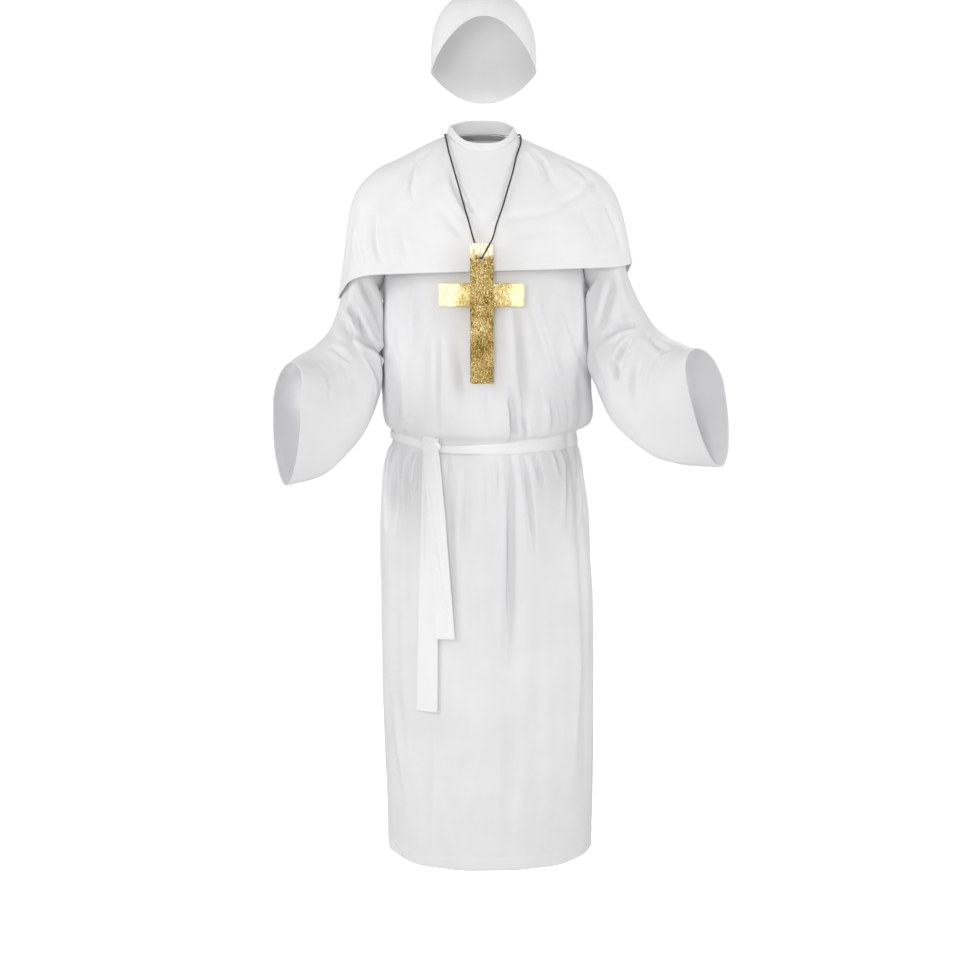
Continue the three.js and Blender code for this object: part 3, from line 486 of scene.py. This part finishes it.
def ripples(points, seed, size, stretch, waves=26):
    """Soft uneven swell of cloth: waves of mixed length, longer along Z by the stretch."""
    draw = np.random.default_rng(seed)
    height = np.zeros(len(points))
    for _ in range(waves):
        length = size * draw.uniform(0.6, 2.2)
        way = unit(np.append(draw.normal(size=2), draw.normal() / stretch))
        height += np.sin(points @ way * 2 * np.pi / length + draw.uniform(0, 2 * np.pi)) * length / size
    return height / waves ** 0.5


# Meshes

def grid_normals(grid, ringed, turned):
    if ringed:
        across = np.roll(grid, -1, axis=1) - np.roll(grid, 1, axis=1)
    else:
        across = np.gradient(grid, axis=1)
    return unit(np.cross(np.gradient(grid, axis=0), across)) * (-1 if turned else 1)


def lengths(grid, axis):
    step = np.linalg.norm(np.diff(grid, axis=axis), axis=2)
    pad = [(0, 0), (0, 0)]
    pad[axis] = (1, 0)
    return np.pad(np.cumsum(step, axis=axis), pad)


def boundary(numbers, ringed):
    """Loops of vertex numbers round a grid's free edges."""
    if ringed:
        return [numbers[0], numbers[-1][::-1]]
    loop = [*numbers[0], *numbers[1:, -1], *numbers[-1, -2::-1], *numbers[-2:0:-1, 0]]
    return [np.array([*loop, loop[0]])]


def new_object(name, verts, faces, uvs):
    mesh = bpy.data.meshes.new(name)
    mesh.from_pydata((np.asarray(verts) * MM).tolist(), [], np.asarray(faces).tolist())
    layer = mesh.uv_layers.new(name="cloth")
    layer.data.foreach_set("uv", np.asarray(uvs, dtype=np.float32).ravel())
    mesh.polygons.foreach_set("use_smooth", [True] * len(mesh.polygons))
    mesh.update()
    return put(name, mesh)


def patch(grid, flip=False):
    """Corners of each cell of a grid: its faces from vertex numbers, its uvs from places."""
    corners = np.stack([grid[:-1, :-1], grid[1:, :-1], grid[1:, 1:], grid[:-1, 1:]], axis=2)
    corners = corners[:, :, [0, 3, 2, 1]] if flip else corners
    return corners.reshape(-1, *corners.shape[2:])


EDGE_ROUND = 0.3


def wall_piece(name, outer, inner, ringed=False, turned=False, pole=False):
    """Closed cloth wall between two grids, with rounded free edges and uvs in metres."""
    rows, columns = outer.shape[:2]
    count = rows * columns
    number = np.arange(count).reshape(rows, columns)
    wide, ring = number, outer
    if ringed:
        wide, ring = np.hstack([number, number[:, :1]]), np.hstack([outer, outer[:, :1]])
    u = lengths(ring, 1)
    half = u.shape[1] // 2
    place = np.stack([u - u[:, half:half + 1], lengths(ring, 0)], axis=2) * MM
    faces = [patch(wide, turned), patch(wide + count, not turned)]
    uvs = [patch(place, turned), patch(place, not turned)]
    flat, lining = outer.reshape(-1, 3), inner.reshape(-1, 3)
    verts = [flat, lining]
    flat_place = np.zeros((count, 2))
    flat_place[wide.ravel()[::-1]] = place.reshape(-1, 2)[::-1]
    total = 2 * count
    for edge, loop in enumerate(boundary(wide, ringed)):
        if pole and edge == 0:
            continue
        ends = loop[:-1]
        if ringed:
            inward = flat[(wide[1] if edge == 0 else wide[-2][::-1])[:-1]]
        else:
            inward = flat[number[rows // 2, columns // 2]]
        through_wall = flat[ends] - lining[ends]
        thick = np.linalg.norm(through_wall, axis=1, keepdims=True)
        face_way = unit(through_wall)
        out = flat[ends] - inward
        out = unit(out - (out * face_way).sum(axis=1, keepdims=True) * face_way)
        verts.append((flat[ends] + lining[ends]) / 2 + out * thick * EDGE_ROUND)
        mid = total + np.arange(len(ends))
        total += len(ends)
        mid = np.append(mid, mid[0])
        at = flat_place[loop]
        for first, second in ((loop, mid), (mid, loop + count)):
            strip = [first[:-1], first[1:], second[1:], second[:-1]]
            corners = [at[:-1], at[1:], at[1:], at[:-1]]
            faces.append(np.stack(strip[::-1] if turned else strip, axis=1))
            uvs.append(np.stack(corners[::-1] if turned else corners, axis=1))
    piece = new_object(name, np.vstack(verts), np.vstack(faces), np.concatenate(uvs))
    if pole:
        work = bmesh.new()
        work.from_mesh(piece.data)
        bmesh.ops.remove_doubles(work, verts=work.verts, dist=0.00005)
        bmesh.ops.dissolve_degenerate(work, edges=work.edges, dist=0.00001)
        work.to_mesh(piece.data)
        work.free()
    return piece


# Hems: how much the turning stands proud, how softly it steps up, and the groove of its stitch line
HEM_PROUD = 0.5
HEM_STEP = 0.8
STITCH_GROOVE = 0.5
STITCH_WIDTH = 1.6


def hem_height(grid, depth):
    run = lengths(grid, 0)
    left = run[-1] - run
    step = 1 / (1 + np.exp(np.clip((left - depth) / HEM_STEP, -40, 40)))
    return HEM_PROUD * step - STITCH_GROOVE * peak(left - depth, STITCH_WIDTH)


def level_sides(normals):
    """Normals whose two side edges point straight out from the body."""
    normals[:, [0, -1], 1] = 0
    return unit(normals)


def cloth_piece(name, slot, nodes, surface, turns, places, thick, creases=(), ringed=False, turned=False,
                pole=False, swell=None, hem=0, extra=None, flat_sides=False, clear=None):
    """A cloth piece on its form, with its creases, soft swell and hem. Clear moves it out of the body."""
    across, down = np.meshgrid(np.asarray(turns, float), np.asarray(places, float))
    shape = across.shape
    points = surface(across.ravel(), down.ravel())
    grid = points.reshape(*shape, 3)
    normals = grid_normals(grid, ringed, turned)
    height = crease_height(points, normals.reshape(-1, 3), surface, creases).reshape(shape)
    if swell:
        height += ripples(points, *swell[:3]).reshape(shape) * swell[3]
    if hem:
        height += hem_height(grid, hem)
    if extra is not None:
        height += extra(across, down)
    if flat_sides:
        normals = level_sides(normals)
    outer = grid + normals * height[..., None]
    if clear is not None:
        outer[..., 0] += clear(outer)
    again = grid_normals(outer, ringed, turned)
    if flat_sides:
        again = level_sides(again)
    if pole:
        outer[0] = outer[0].mean(axis=0)
        again[0] = (0, 0, 1)
    piece = wall_piece(name, outer, outer - again * thick, ringed, turned, pole)
    dress(piece, slot, *nodes)
    return piece


# Materials

def feed(tree, node, inputs):
    """Sets or links the inputs of a node. A node given as a value passes on its first output."""
    for key, value in inputs.items():
        value = value.outputs[0] if isinstance(value, bpy.types.Node) else value
        if isinstance(value, bpy.types.NodeSocket):
            tree.links.new(value, node.inputs[key])
        else:
            node.inputs[key].default_value = value


def add(tree, kind, inputs=None, stops=(), **settings):
    """Adds one shader node with its settings and colour stops, and feeds its inputs."""
    node = tree.nodes.new("ShaderNode" + kind)
    for key, value in settings.items():
        setattr(node, key, value)
    if stops:
        band = node.color_ramp.elements
        while len(band) < len(stops):
            band.new(0.5)
        for element, (place, code) in zip(band, stops):
            element.position = place
            element.color = linear(code)
    feed(tree, node, inputs or {})
    return node


def new_material(name):
    material = bpy.data.materials.new(name)
    material.use_nodes = True
    tree = material.node_tree
    tree.nodes.clear()
    shader = add(tree, "BsdfPrincipled")
    add(tree, "OutputMaterial", {"Surface": shader})
    return material, tree, shader


def white_cloth(name, pale, shade, wale, course, rough, sheen, knit_depth):
    """White cloth with its thread pattern, faint unevenness and soft sheen. Sizes in millimetres."""
    material, tree, shader = new_material(name)
    uv = add(tree, "UVMap", uv_map="cloth")
    here = add(tree, "TexCoord").outputs["Object"]
    patches = add(tree, "TexNoise", {"Vector": here, "Scale": 9.0, "Detail": 3.0})
    tone = add(tree, "ValToRGB", {"Fac": patches}, [(0.3, shade), (0.7, pale)])
    gloss = add(tree, "MapRange", {
        "Value": patches, "From Min": 0.3, "From Max": 0.7, "To Min": rough - 0.05, "To Max": rough + 0.05})
    # one wave for the wales and one for the courses make the rows of loops
    waves = [add(tree, "TexWave", {
        "Vector": uv, "Scale": 1000 / apart / 20, "Distortion": uneven, "Detail": 1.0, "Detail Scale": 2.0},
        bands_direction=way).outputs["Fac"] for apart, uneven, way in ((wale, 0.6, "X"), (course, 0.8, "Y"))]
    loops = add(tree, "Math", dict(enumerate(waves)), operation="MULTIPLY")
    rumple = add(tree, "TexNoise", {
        "Vector": here, "Scale": 26.0, "Detail": 4.0, "Roughness": 0.45})
    soft = add(tree, "Bump", {"Height": rumple, "Strength": 0.35, "Distance": 0.0015})
    knit = add(tree, "Bump", {
        "Height": loops, "Strength": 0.5, "Distance": knit_depth * MM, "Normal": soft})
    feed(tree, shader, {
        "Base Color": tone, "Roughness": gloss, "Sheen Weight": sheen, "Sheen Roughness": 0.45,
        "IOR": 1.45, "Specular IOR Level": 0.35, "Normal": knit})
    return material


# Finish of each slot of the record
FINISH = {}
# White polyester jersey, knitted fine and left smooth: matt with a faint sheen on the turned folds.
# Its wales are about 0.8 mm apart; they are drawn twice as coarse so that a close view shows them.
FINISH["robe_cloth"] = white_cloth("polyester_jersey", "#f0f0f1", "#e9e9ea", 1.6, 1.4, 0.62, 0.18, 0.12)
# The cape, collar and cap are a closer, heavier double knit that looks whiter than the robe.
FINISH["cape_cloth"] = white_cloth("double_knit_polyester", "#f8f8f8", "#f3f3f3", 1.4, 1.2, 0.6, 0.22, 0.1)
# The belt is a soft woven tape, brushed, with a fine rib along its length.
FINISH["belt_tape"] = white_cloth("brushed_woven_tape", "#fafafa", "#f5f5f5", 1.2, 1.8, 0.58, 0.2, 0.12)


def gilt_foil(name, dark, middle, bright, pale, crackle_mm, axis, smooth_highlight_span):
    """Gilt plastic foil pressed on a board: crackled into fine bright and dark flakes, with a highlight
    painted pale and less metallic beyond a span from the middle.
    """
    material, tree, shader = new_material(name)
    here = add(tree, "TexCoord").outputs["Object"]
    slant = add(tree, "Mapping", {
        "Vector": here, "Rotation": (0, 0.35, 0), "Scale": (1.5, 1, 0.6)})
    warp = add(tree, "TexNoise", {"Vector": here, "Scale": 60.0, "Detail": 3.0}).outputs["Color"]
    shift = add(tree, "MixRGB", {"Fac": 0.012, "Color1": slant, "Color2": warp})
    flakes = add(tree, "TexVoronoi", {
        "Vector": shift, "Scale": 1000 / crackle_mm}, feature="DISTANCE_TO_EDGE")
    streaks = add(tree, "TexNoise", {
        "Vector": shift, "Scale": 1000 / crackle_mm * 0.8, "Detail": 6.0, "Roughness": 0.7,
        "Distortion": 1.2})
    clouds = add(tree, "TexNoise", {"Vector": here, "Scale": 38.0, "Detail": 2.0})
    slow = add(tree, "Math", {0: clouds, 1: 0.5}, operation="SUBTRACT")
    tone = add(tree, "Math", {0: slow, 1: 0.16, 2: streaks}, operation="MULTIPLY_ADD")
    crackle = add(tree, "ValToRGB", {"Fac": tone}, [
        (0.40, dark), (0.47, middle), (0.54, bright), (0.62, pale)])
    rough = add(tree, "MapRange", {
        "Value": streaks, "From Min": 0.35, "From Max": 0.65, "To Min": 0.42, "To Max": 0.22})
    # a pale, less metallic highlight is painted away from the middle, behind an uneven line
    middle_at, start, end = (value * MM for value in smooth_highlight_span)
    along = add(tree, "SeparateXYZ", {"Vector": here}).outputs[axis]
    away = add(tree, "Math", {0: along, 1: middle_at}, operation="SUBTRACT")
    out = add(tree, "Math", {0: away}, operation="ABSOLUTE")
    uneven = add(tree, "Math", {0: slow, 1: 0.03, 2: out}, operation="MULTIPLY_ADD")
    # mask of the painted highlight, rising from the start to the end of the span
    painted_highlight = add(tree, "MapRange", {"Value": uneven, "From Min": start, "From Max": end})
    colour = add(tree, "MixRGB", {"Fac": painted_highlight, "Color1": crackle, "Color2": linear(pale)})
    metal = add(tree, "MapRange", {"Value": painted_highlight, "To Min": 0.85, "To Max": 0.3})
    # relief of the streaks and of the cracks between flakes, gone where the highlight is painted, so the
    # foil is smooth there
    cracks = add(tree, "Math", {0: flakes, 1: 2.0}, operation="MULTIPLY")
    low = add(tree, "Math", {0: cracks, 1: 0.4}, operation="MINIMUM")
    face = add(tree, "Math", {0: streaks, 1: low}, operation="ADD")
    keep = add(tree, "Math", {0: 1.0, 1: painted_highlight}, operation="SUBTRACT")
    relief = add(tree, "Math", {0: face, 1: keep}, operation="MULTIPLY")
    bump = add(tree, "Bump", {"Height": relief, "Strength": 0.7, "Distance": 0.0008})
    feed(tree, shader, {"Metallic": metal, "Base Color": colour, "Roughness": rough, "Normal": bump})
    return material


# Gilt foil on board, crumpled by hand on the upright; at the top of the upright and towards the ends of the
# crossbar it is smooth, with a pale highlight painted on
FINISH["crackled_foil"] = gilt_foil(
    "crackled_gilt_foil", "#503a12", "#94752f", "#d6b968", "#faefc4", 1.4, "Z", (-360, 136, 150))
FINISH["bright_foil"] = gilt_foil(
    "gilt_foil_with_painted_highlight", "#b8924a", "#dcc070", "#f2e0a0", "#fff3bf", 2.6, "X", (0, 42, 54))


def twisted_cord():
    """Dark waxed polyester cord of three twisted strands: dull, with a paler glint along each strand."""
    material, tree, shader = new_material("waxed_twisted_cord")
    uv = add(tree, "UVMap", uv_map="cloth")
    fibre = add(tree, "Mapping", {"Vector": uv, "Rotation": (0, 0, 0.6), "Scale": (2.0, 1.0, 1.0)})
    noise = add(tree, "TexNoise", {"Vector": fibre, "Scale": 1400.0, "Detail": 2.0})
    tone = add(tree, "ValToRGB", {"Fac": noise}, [(0.35, "#241f1e"), (0.65, "#4a4240")])
    bump = add(tree, "Bump", {"Height": noise, "Strength": 0.4, "Distance": 0.0003})
    feed(tree, shader, {"Base Color": tone, "Roughness": 0.55, "Normal": bump})
    return material


FINISH["cord_braid"] = twisted_cord()

# Pieces

FRONT = np.linspace(-90, 90, 226)
BACK = np.linspace(90, 270, 136)
ROUND = np.linspace(-90, 270, 361)[:-1]
EVERY_OTHER = ROUND[::2]
ROBE_ROWS = np.unique(np.concatenate([
    np.linspace(0, ARMPIT, 27), np.linspace(ARMPIT, 460, 34), np.linspace(460, 590, 32),
    np.linspace(590, 1262, 86), np.linspace(1262, NECK_TO_HEM, 16),
]))
# Walls of the cloths and depths of their hems
KNIT_WALL = 1.6
SLEEVE_WALL = 1.5
TAPE_WALL = 1.2
ROBE_HEM = 22
SLEEVE_HEM = 18
CAPE_HEM = 14
TAPE_HEM = 8
# Cord: sides of its mesh, length of each step along it and of a full twist
CORD_SIDES = 14
CORD_STEP = 0.9
CORD_TWIST = 11


def dress(piece, slot, *nodes):
    """Gives a piece its finish and lets it stand for its solids."""
    piece.data.materials.clear()
    piece.data.materials.append(FINISH[slot])
    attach(piece, "root")
    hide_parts(*nodes)


def cord_piece():
    """Cord of three twisted strands on its route."""
    line = smooth_route(CORD_ROUTE, 24)
    step = np.concatenate([[0], np.cumsum(np.linalg.norm(np.diff(line, axis=0), axis=1))])
    even = np.arange(0, step[-1], CORD_STEP)
    line = np.stack([np.interp(even, step, line[:, k]) for k in range(3)], axis=1)
    way = unit(np.gradient(line, axis=0))
    out = unit(np.cross(way, (0.1, 0.2, 1.0)))
    up = np.cross(way, out)
    around = np.linspace(0, 2 * np.pi, CORD_SIDES + 1)
    twist = even[:, None] * 2 * np.pi / CORD_TWIST
    radius = CORD_DIAMETER / 2 * (0.86 + 0.14 * np.abs(np.cos(1.5 * around[None, :] + twist)))
    grid = line[:, None] + radius[..., None] * (
        np.cos(around)[None, :, None] * out[:, None] + np.sin(around)[None, :, None] * up[:, None])
    number = np.arange(len(line) * CORD_SIDES).reshape(len(line), CORD_SIDES)
    wide = np.hstack([number, number[:, :1]])
    run, turn = np.meshgrid(even * MM, around * CORD_DIAMETER / 2 * MM, indexing="ij")
    uvs = patch(np.stack([run, turn], axis=2))
    piece = new_object("cord_twist", grid[:, :-1].reshape(-1, 3), patch(wide), uvs)
    work = bmesh.new()
    work.from_mesh(piece.data)
    ends = [edge for edge in work.edges if edge.is_boundary]
    bmesh.ops.holes_fill(work, edges=ends)
    bmesh.ops.recalc_face_normals(work, faces=work.faces)
    work.to_mesh(piece.data)
    work.free()
    dress(piece, "cord_braid", "neck_cord")


cord_piece()


# Swell of the cloth: seed, length in mm, upright stretch and height. Front and back share it at seams.
ROBE_SWELL = (3, 64, 5.0, 1.2)
CAPE_SWELL = (7, 80, 1.2, 0.6)

hidden = back_creases(15, 11, 300, 520) + back_creases(24, 12, 556, 1200)
robe = {}
for word, forward, turns, creases in (("front", -1, FRONT, ROBE_CREASES), ("back", 1, BACK, hidden)):
    robe[word] = cloth_piece(
        f"robe_{word}_panel", "robe_cloth", (f"yoke_{word}", f"robe_{word}", f"skirt_{word}"),
        robe_surface(forward), turns, ROBE_ROWS, KNIT_WALL, creases, swell=ROBE_SWELL, hem=ROBE_HEM,
        flat_sides=True)

# Where a sleeve may meet the robe's side, how far a ray looks there, the gap that is kept and the
# rounds that spread the move
ROBE_REACH = 215
PRESSED = (-600, -270)
PRESS_LOOK = 40
PRESS_GAP = 0.5
PRESS_SPREAD = 30


def beside_robe(side):
    """Sideways moves that lay a sleeve against the robe's side where its folds would enter it."""
    verts, faces = [], []
    for panel in robe.values():
        faces += [[k + len(verts) for k in face.vertices] for face in panel.data.polygons]
        verts += [vert.co / MM for vert in panel.data.vertices]
    tree = BVHTree.FromPolygons(verts, faces)
    way = Vector((side, 0, 0))

    def moves(grid):
        push = np.zeros(grid.shape[:2])
        x, z = grid[..., 0], grid[..., 2]
        near = (side * x < ROBE_REACH) & (z > PRESSED[0]) & (z < PRESSED[1])
        for spot in zip(*np.nonzero(near)):
            hit = tree.ray_cast(Vector(grid[spot]), way, PRESS_LOOK)[0]
            while hit is not None:
                push[spot] = side * (hit.x - grid[spot][0]) + PRESS_GAP
                hit = tree.ray_cast(hit + way * 0.01, way, PRESS_LOOK)[0]
        for _ in range(PRESS_SPREAD):
            around = sum(np.roll(push, step, axis) for axis in (0, 1) for step in (-1, 1)) / 4
            push = np.maximum(push, around)
        return side * push
    return moves


SLEEVE_ROWS = np.linspace(0, 6, 164)
SLEEVE_TURNS = np.linspace(0, 360, 185)[:-1]
for word, side, sections, creases, seed in (
        ("right", -1, RIGHT_ARM, RIGHT_SLEEVE_CREASES, 5), ("left", 1, LEFT_ARM, LEFT_SLEEVE_CREASES, 6)):
    cloth_piece(
        f"{word}_sleeve", "robe_cloth", (f"sleeve_{word}_arm", f"bell_{word}_arm"),
        sleeve_surface(side, sections), SLEEVE_TURNS, SLEEVE_ROWS, SLEEVE_WALL, creases, ringed=True,
        turned=side > 0, swell=(seed, 60, 1.5, 0.7), hem=SLEEVE_HEM, clear=beside_robe(side))

CAPE_ROWS = np.linspace(0, 7, 116)
for word, forward, turns, creases in (
        ("front", -1, FRONT, CAPE_CREASES), ("back", 1, BACK, CAPE_BACK_CREASES)):
    cloth_piece(
        f"cape_{word}_panel", "cape_cloth", [f"cape_{word}"], neck_surface(CAPE, CAPE_FOLDS, forward),
        turns, CAPE_ROWS, KNIT_WALL, creases, swell=CAPE_SWELL, hem=CAPE_HEM, flat_sides=True)

collar = cloth_piece(
    "stand_collar", "cape_cloth", ["collar"], neck_surface(COLLAR, []), EVERY_OTHER,
    np.linspace(2, 0, 22), KNIT_WALL, ringed=True, swell=(9, 26, 1.0, 0.25))


def rim_binding(turn, place):
    """Rolled binding along the cap's rim."""
    return 0.7 * peak(1 - place, 0.018) - 0.4 * peak(0.95 - place, 0.008)


CAP_SEAMS = [(turn, 0.04, turn, 0.96, 0, 0.5, 2.2, 0) for turn in (-22, 68, 158, 248)]
cap = cloth_piece(
    "dome_cap", "cape_cloth", ["cap"], cap_surface, EVERY_OTHER, np.linspace(0, 1, 76), KNIT_WALL,
    CAP_SEAMS, ringed=True, pole=True, swell=(10, 70, 1.0, 0.4), extra=rim_binding)


# Belt: tape round the waist, its knot and its two hanging ends

# Half height of the tape and how far its middle hangs below the belt line, round the body
BELT_SHAPE = np.array([
    # turn, half height, lower by
    (-90, 8, -2), (-75, 5.8, -3), (-55, 6.8, -1.5), (-40, 6.8, 0), (-26, 6, 4), (-4, 8, 2), (12, 10, 1.5),
    (30, 12, -2), (46, 13.5, -0.5), (70, 13, 2), (90, 12, 2), (120, 11, 0), (180, 10, 1), (240, 10.5, 0),
    (270, 8, -2),
], float)
BELT_BEDDED = 0.6


def belt_surface(turn, place):
    """Outer face of the tape, drawn narrow beside the knot."""
    half, lower = through(BELT_SHAPE[:, 1:], BELT_SHAPE[:, 0], turn).T
    return robe_point(turn, BELT_AT + lower + place * half, BELT_CLEAR + BELT_LAYERS - BELT_BEDDED)


def belt_folds(turn, place):
    """The tape is folded along its length, with a soft ridge that wanders."""
    wander = 0.35 * np.sin(rad(turn * 1.7 + 30)) + 0.2 * np.sin(rad(turn * 4.1))
    ridge = 0.7 * peak(place - wander, 0.5)
    return ridge - 1.2 * np.abs(place) ** 6 - 0.35 * peak(place - wander + 0.62, 0.12)


belt = cloth_piece(
    "waist_tape", "belt_tape", ["belt_band"], belt_surface, ROUND, np.linspace(-1, 1, 26), 2 * TAPE_WALL,
    ringed=True, swell=(13, 30, 0.6, 0.12), extra=belt_folds)


def turn_at(x, drop):
    size = through(ROBE[:, 1:], ROBE[:, 0], drop)
    half = np.where(x > 0, size[:, 1], size[:, 0])
    return np.sign(x) * np.degrees(np.arcsin((np.abs(x) / half) ** (ROUNDNESS / 2)))


# Hump of the short end over the belt: its middle, half height and rise; then the tuck above it
HUMP_AT = BELT_AT
HUMP_HALF = 11
HUMP_PROUD = 8.5
TUCK = 0.75
TUCK_HALF = 5
TAIL_CLEAR = 1.5


def tail_surface(start, end, top, foot, clear, hump=0):
    """A hanging end of the tape. A hump carries its top over the belt and tucks it in behind."""
    def surface(across, share):
        drop = start + (end - start) * share
        left, right = (top[k] + (foot[k] - top[k]) * share for k in (0, 1))
        x = left + (right - left) * across
        proud = hump * peak(drop - HUMP_AT, HUMP_HALF) * (1 - 0.35 * (2 * across - 1) ** 2)
        tuck = hump * TUCK * peak(drop - start, TUCK_HALF)
        return robe_point(turn_at(x, drop), drop, clear + TAIL_CLEAR + proud - tuck)
    return surface


TAIL_ACROSS = np.linspace(0, 1, 22)
TAIL_ROWS = np.linspace(0, 1, 190)
long_tail = cloth_piece(
    "long_tape_end", "belt_tape", ["belt_tail_long"],
    tail_surface(550, 1021, (-108, -81), (-119, -82), 4.2), TAIL_ACROSS, TAIL_ROWS, TAPE_WALL,
    [(0.3, 0.0, 0.35, 0.5, 0, 1, 4, 0.2)], swell=(14, 50, 2.0, 0.35), hem=TAPE_HEM)
short_tail = cloth_piece(
    "short_tape_end", "belt_tape", ["belt_tail_short"],
    tail_surface(526, 890, (-108, -80), (-83, -51), 6.4, HUMP_PROUD), TAIL_ACROSS, TAIL_ROWS ** 1.3,
    TAPE_WALL, [(0.05, 0.1, 0.75, 0.99, 0, 1.2, 3, 0.5), (0.7, 0.02, 0.85, 0.2, 0, 1.0, 3, 0)],
    swell=(15, 50, 2.0, 0.35), hem=TAPE_HEM)


def merged_lumps(name, lumps, voxel, rounds):
    """One closed form from several rounded lumps: centre, half sizes and tilt in degrees."""
    work = bmesh.new()
    for centre, half, tilt in lumps:
        made = bmesh.ops.create_icosphere(work, subdivisions=4, radius=1.0)["verts"]
        swing = math.radians(tilt)
        for vert in made:
            x, y, z = vert.co.x * half[0], vert.co.y * half[1], vert.co.z * half[2]
            vert.co = (centre[0] + x * math.cos(swing) + z * math.sin(swing), centre[1] + y,
                       centre[2] - x * math.sin(swing) + z * math.cos(swing))
    mesh = bpy.data.meshes.new(name)
    work.to_mesh(mesh)
    work.free()
    return remeshed(put(name, mesh), voxel, rounds)


def set_spots(piece, spots):
    piece.data.vertices.foreach_set("co", spots.ravel())
    piece.data.update()


def remeshed(piece, voxel, rounds):
    shape = piece.modifiers.new("shape", "REMESH")
    shape.mode = "VOXEL"
    shape.voxel_size = voxel
    shape.use_smooth_shade = True
    ease = piece.modifiers.new("ease", "SMOOTH")
    ease.iterations = rounds
    ease.factor = 0.5
    bpy.context.view_layer.update()
    graph = bpy.context.evaluated_depsgraph_get()
    made = bpy.data.meshes.new_from_object(piece.evaluated_get(graph))
    piece.modifiers.clear()
    piece.data = made
    return piece


KNOT_TURN = -29.0
KNOT_DEPTH = 9
KNOT_CLEAR = 0.4
KNOT_LUMPS = [
    # centre, half sizes, tilt: the tape comes over the belt, doubles and falls away
    ((-3, 1.5, 0), (11, 6, 9), 12), ((4, 1, 2), (9, 6, 8), -25), ((9, 1.5, 0), (6, 5, 6), -10),
    ((-10, 1.5, 2), (6, 5, 6), 25),
]
knot_proud = BELT_CLEAR + BELT_LAYERS + KNOT_CLEAR + KNOT_DEPTH
knot_foot, knot_at = (
    robe_point(np.array([KNOT_TURN]), np.array([BELT_AT], float), lift)[0] for lift in (0.0, knot_proud))
facing = math.atan2(knot_at[0] - knot_foot[0], -(knot_at[1] - knot_foot[1]))
knot = merged_lumps("waist_knot", KNOT_LUMPS, 0.8, 6)
cos, sin = math.cos(facing), math.sin(facing)
swung = np.array([[cos, -sin, 0], [sin, cos, 0], [0, 0, 1]])
spots = np.array([vert.co for vert in knot.data.vertices])
spots[:, 1] += 0.35 * np.sin(spots[:, 0] * 1.1 + spots[:, 2] * 0.5) * peak(spots[:, 1], 8)
set_spots(knot, (spots @ swung.T + knot_at) * MM)


def cross_piece(name, node, seed, crumple, slot):
    """A bar of the cross: board with eased edges under crumpled foil, made on its solid's form."""
    piece = put(name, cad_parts[node].data.copy())
    remeshed(piece, 1.0 * MM, 3)
    spots = np.array([vert.co for vert in piece.data.vertices])
    ways = np.array([vert.normal for vert in piece.data.vertices])
    creased = -np.abs(ripples(spots / MM, seed, 9, 1.0, 30)) + 0.5
    set_spots(piece, spots + ways * (creased * crumple * MM)[:, None])
    dress(piece, slot, node)


cross_piece("cross_upright_foil", "cross_upright", 21, 0.35, "crackled_foil")
cross_piece("cross_bar_foil", "cross_bar", 22, 0.2, "bright_foil")
dress(knot, "belt_tape", "belt_knot")

# Studio: white floor and surroundings, banks of soft light on both sides, in front and behind, and a
# small lamp in each cuff

FLOOR_AT = -1.462
FLOOR_HALF = 3
WHITE = (1, 1, 1, 1)
SEEN_STRENGTH = 1.05
GLOW_STRENGTH = 0.46
studio = bpy.data.meshes.new("floor")
corners = [(-1, -1), (1, -1), (1, 1), (-1, 1)]
studio.from_pydata([(x * FLOOR_HALF, y * FLOOR_HALF, FLOOR_AT) for x, y in corners], [], [(0, 1, 2, 3)])
floor = put("floor", studio)
paint, tree, shader = new_material("white_studio_floor")
straight = add(tree, "LightPath").outputs["Is Camera Ray"]
feed(tree, shader, {
    "Base Color": linear("#e4e4e4"), "Roughness": 0.9, "Emission Color": WHITE,
    "Emission Strength": straight})
floor.data.materials.append(paint)

world = bpy.data.worlds.new("studio")
world.use_nodes = True
bpy.context.scene.world = world
tree = world.node_tree
tree.nodes.clear()
seen = add(tree, "Background", {"Color": WHITE, "Strength": SEEN_STRENGTH})
glow = add(tree, "Background", {"Color": WHITE, "Strength": GLOW_STRENGTH})
straight = add(tree, "LightPath").outputs["Is Camera Ray"]
mixed = add(tree, "MixShader", {0: straight, 1: glow, 2: seen})
add(tree, "OutputWorld", {"Surface": mixed})


def new_lamp(name, kind, at, power):
    lamp = put(name, bpy.data.lights.new(name, kind))
    lamp.data.energy = power
    lamp.location = at
    return lamp


BANKS = [
    # name, place, aim, size, power
    ("left bank", (-3.0, -1.3, 0.7), (0, 0, -0.7), (1.0, 1.8), 35),
    ("right bank", (3.0, -1.4, 0.6), (0, 0, -0.7), (1.0, 1.8), 34),
    ("front bank", (-0.7, -4.0, -0.1), (0, 0, -0.9), (1.2, 1.2), 36),
    ("back bank", (0.9, 3.6, 1.2), (0, 0, -0.6), (1.2, 1.2), 30),
]
for name, at, aim, size, power in BANKS:
    bank = new_lamp(name, "AREA", at, power)
    bank.data.shape = "RECTANGLE"
    bank.data.size, bank.data.size_y = size
    way = np.array(aim, float) - np.array(at, float)
    flat = math.hypot(way[0], way[1])
    bank.rotation_euler = (math.atan2(flat, -way[2]), 0, math.atan2(way[0], -way[1]) + math.pi)

# A small soft lamp in the mouth of each sleeve, for the light that comes through the thin cloth
CUFF_LAMP_AT = 4.5
CUFF_LAMP_POWER = 0.07
CUFF_LAMP_RADIUS = 0.04
for word, side, sections in (("right", -1, RIGHT_ARM), ("left", 1, LEFT_ARM)):
    mouth = sleeve_surface(side, sections)(SLEEVE_TURNS, np.full_like(SLEEVE_TURNS, CUFF_LAMP_AT))
    fill = new_lamp(f"{word} cuff fill", "POINT", mouth.mean(axis=0) * MM, CUFF_LAMP_POWER)
    fill.data.shadow_soft_size = CUFF_LAMP_RADIUS
    fill.visible_camera = False
bpy.context.scene.view_settings.view_transform = "Standard"
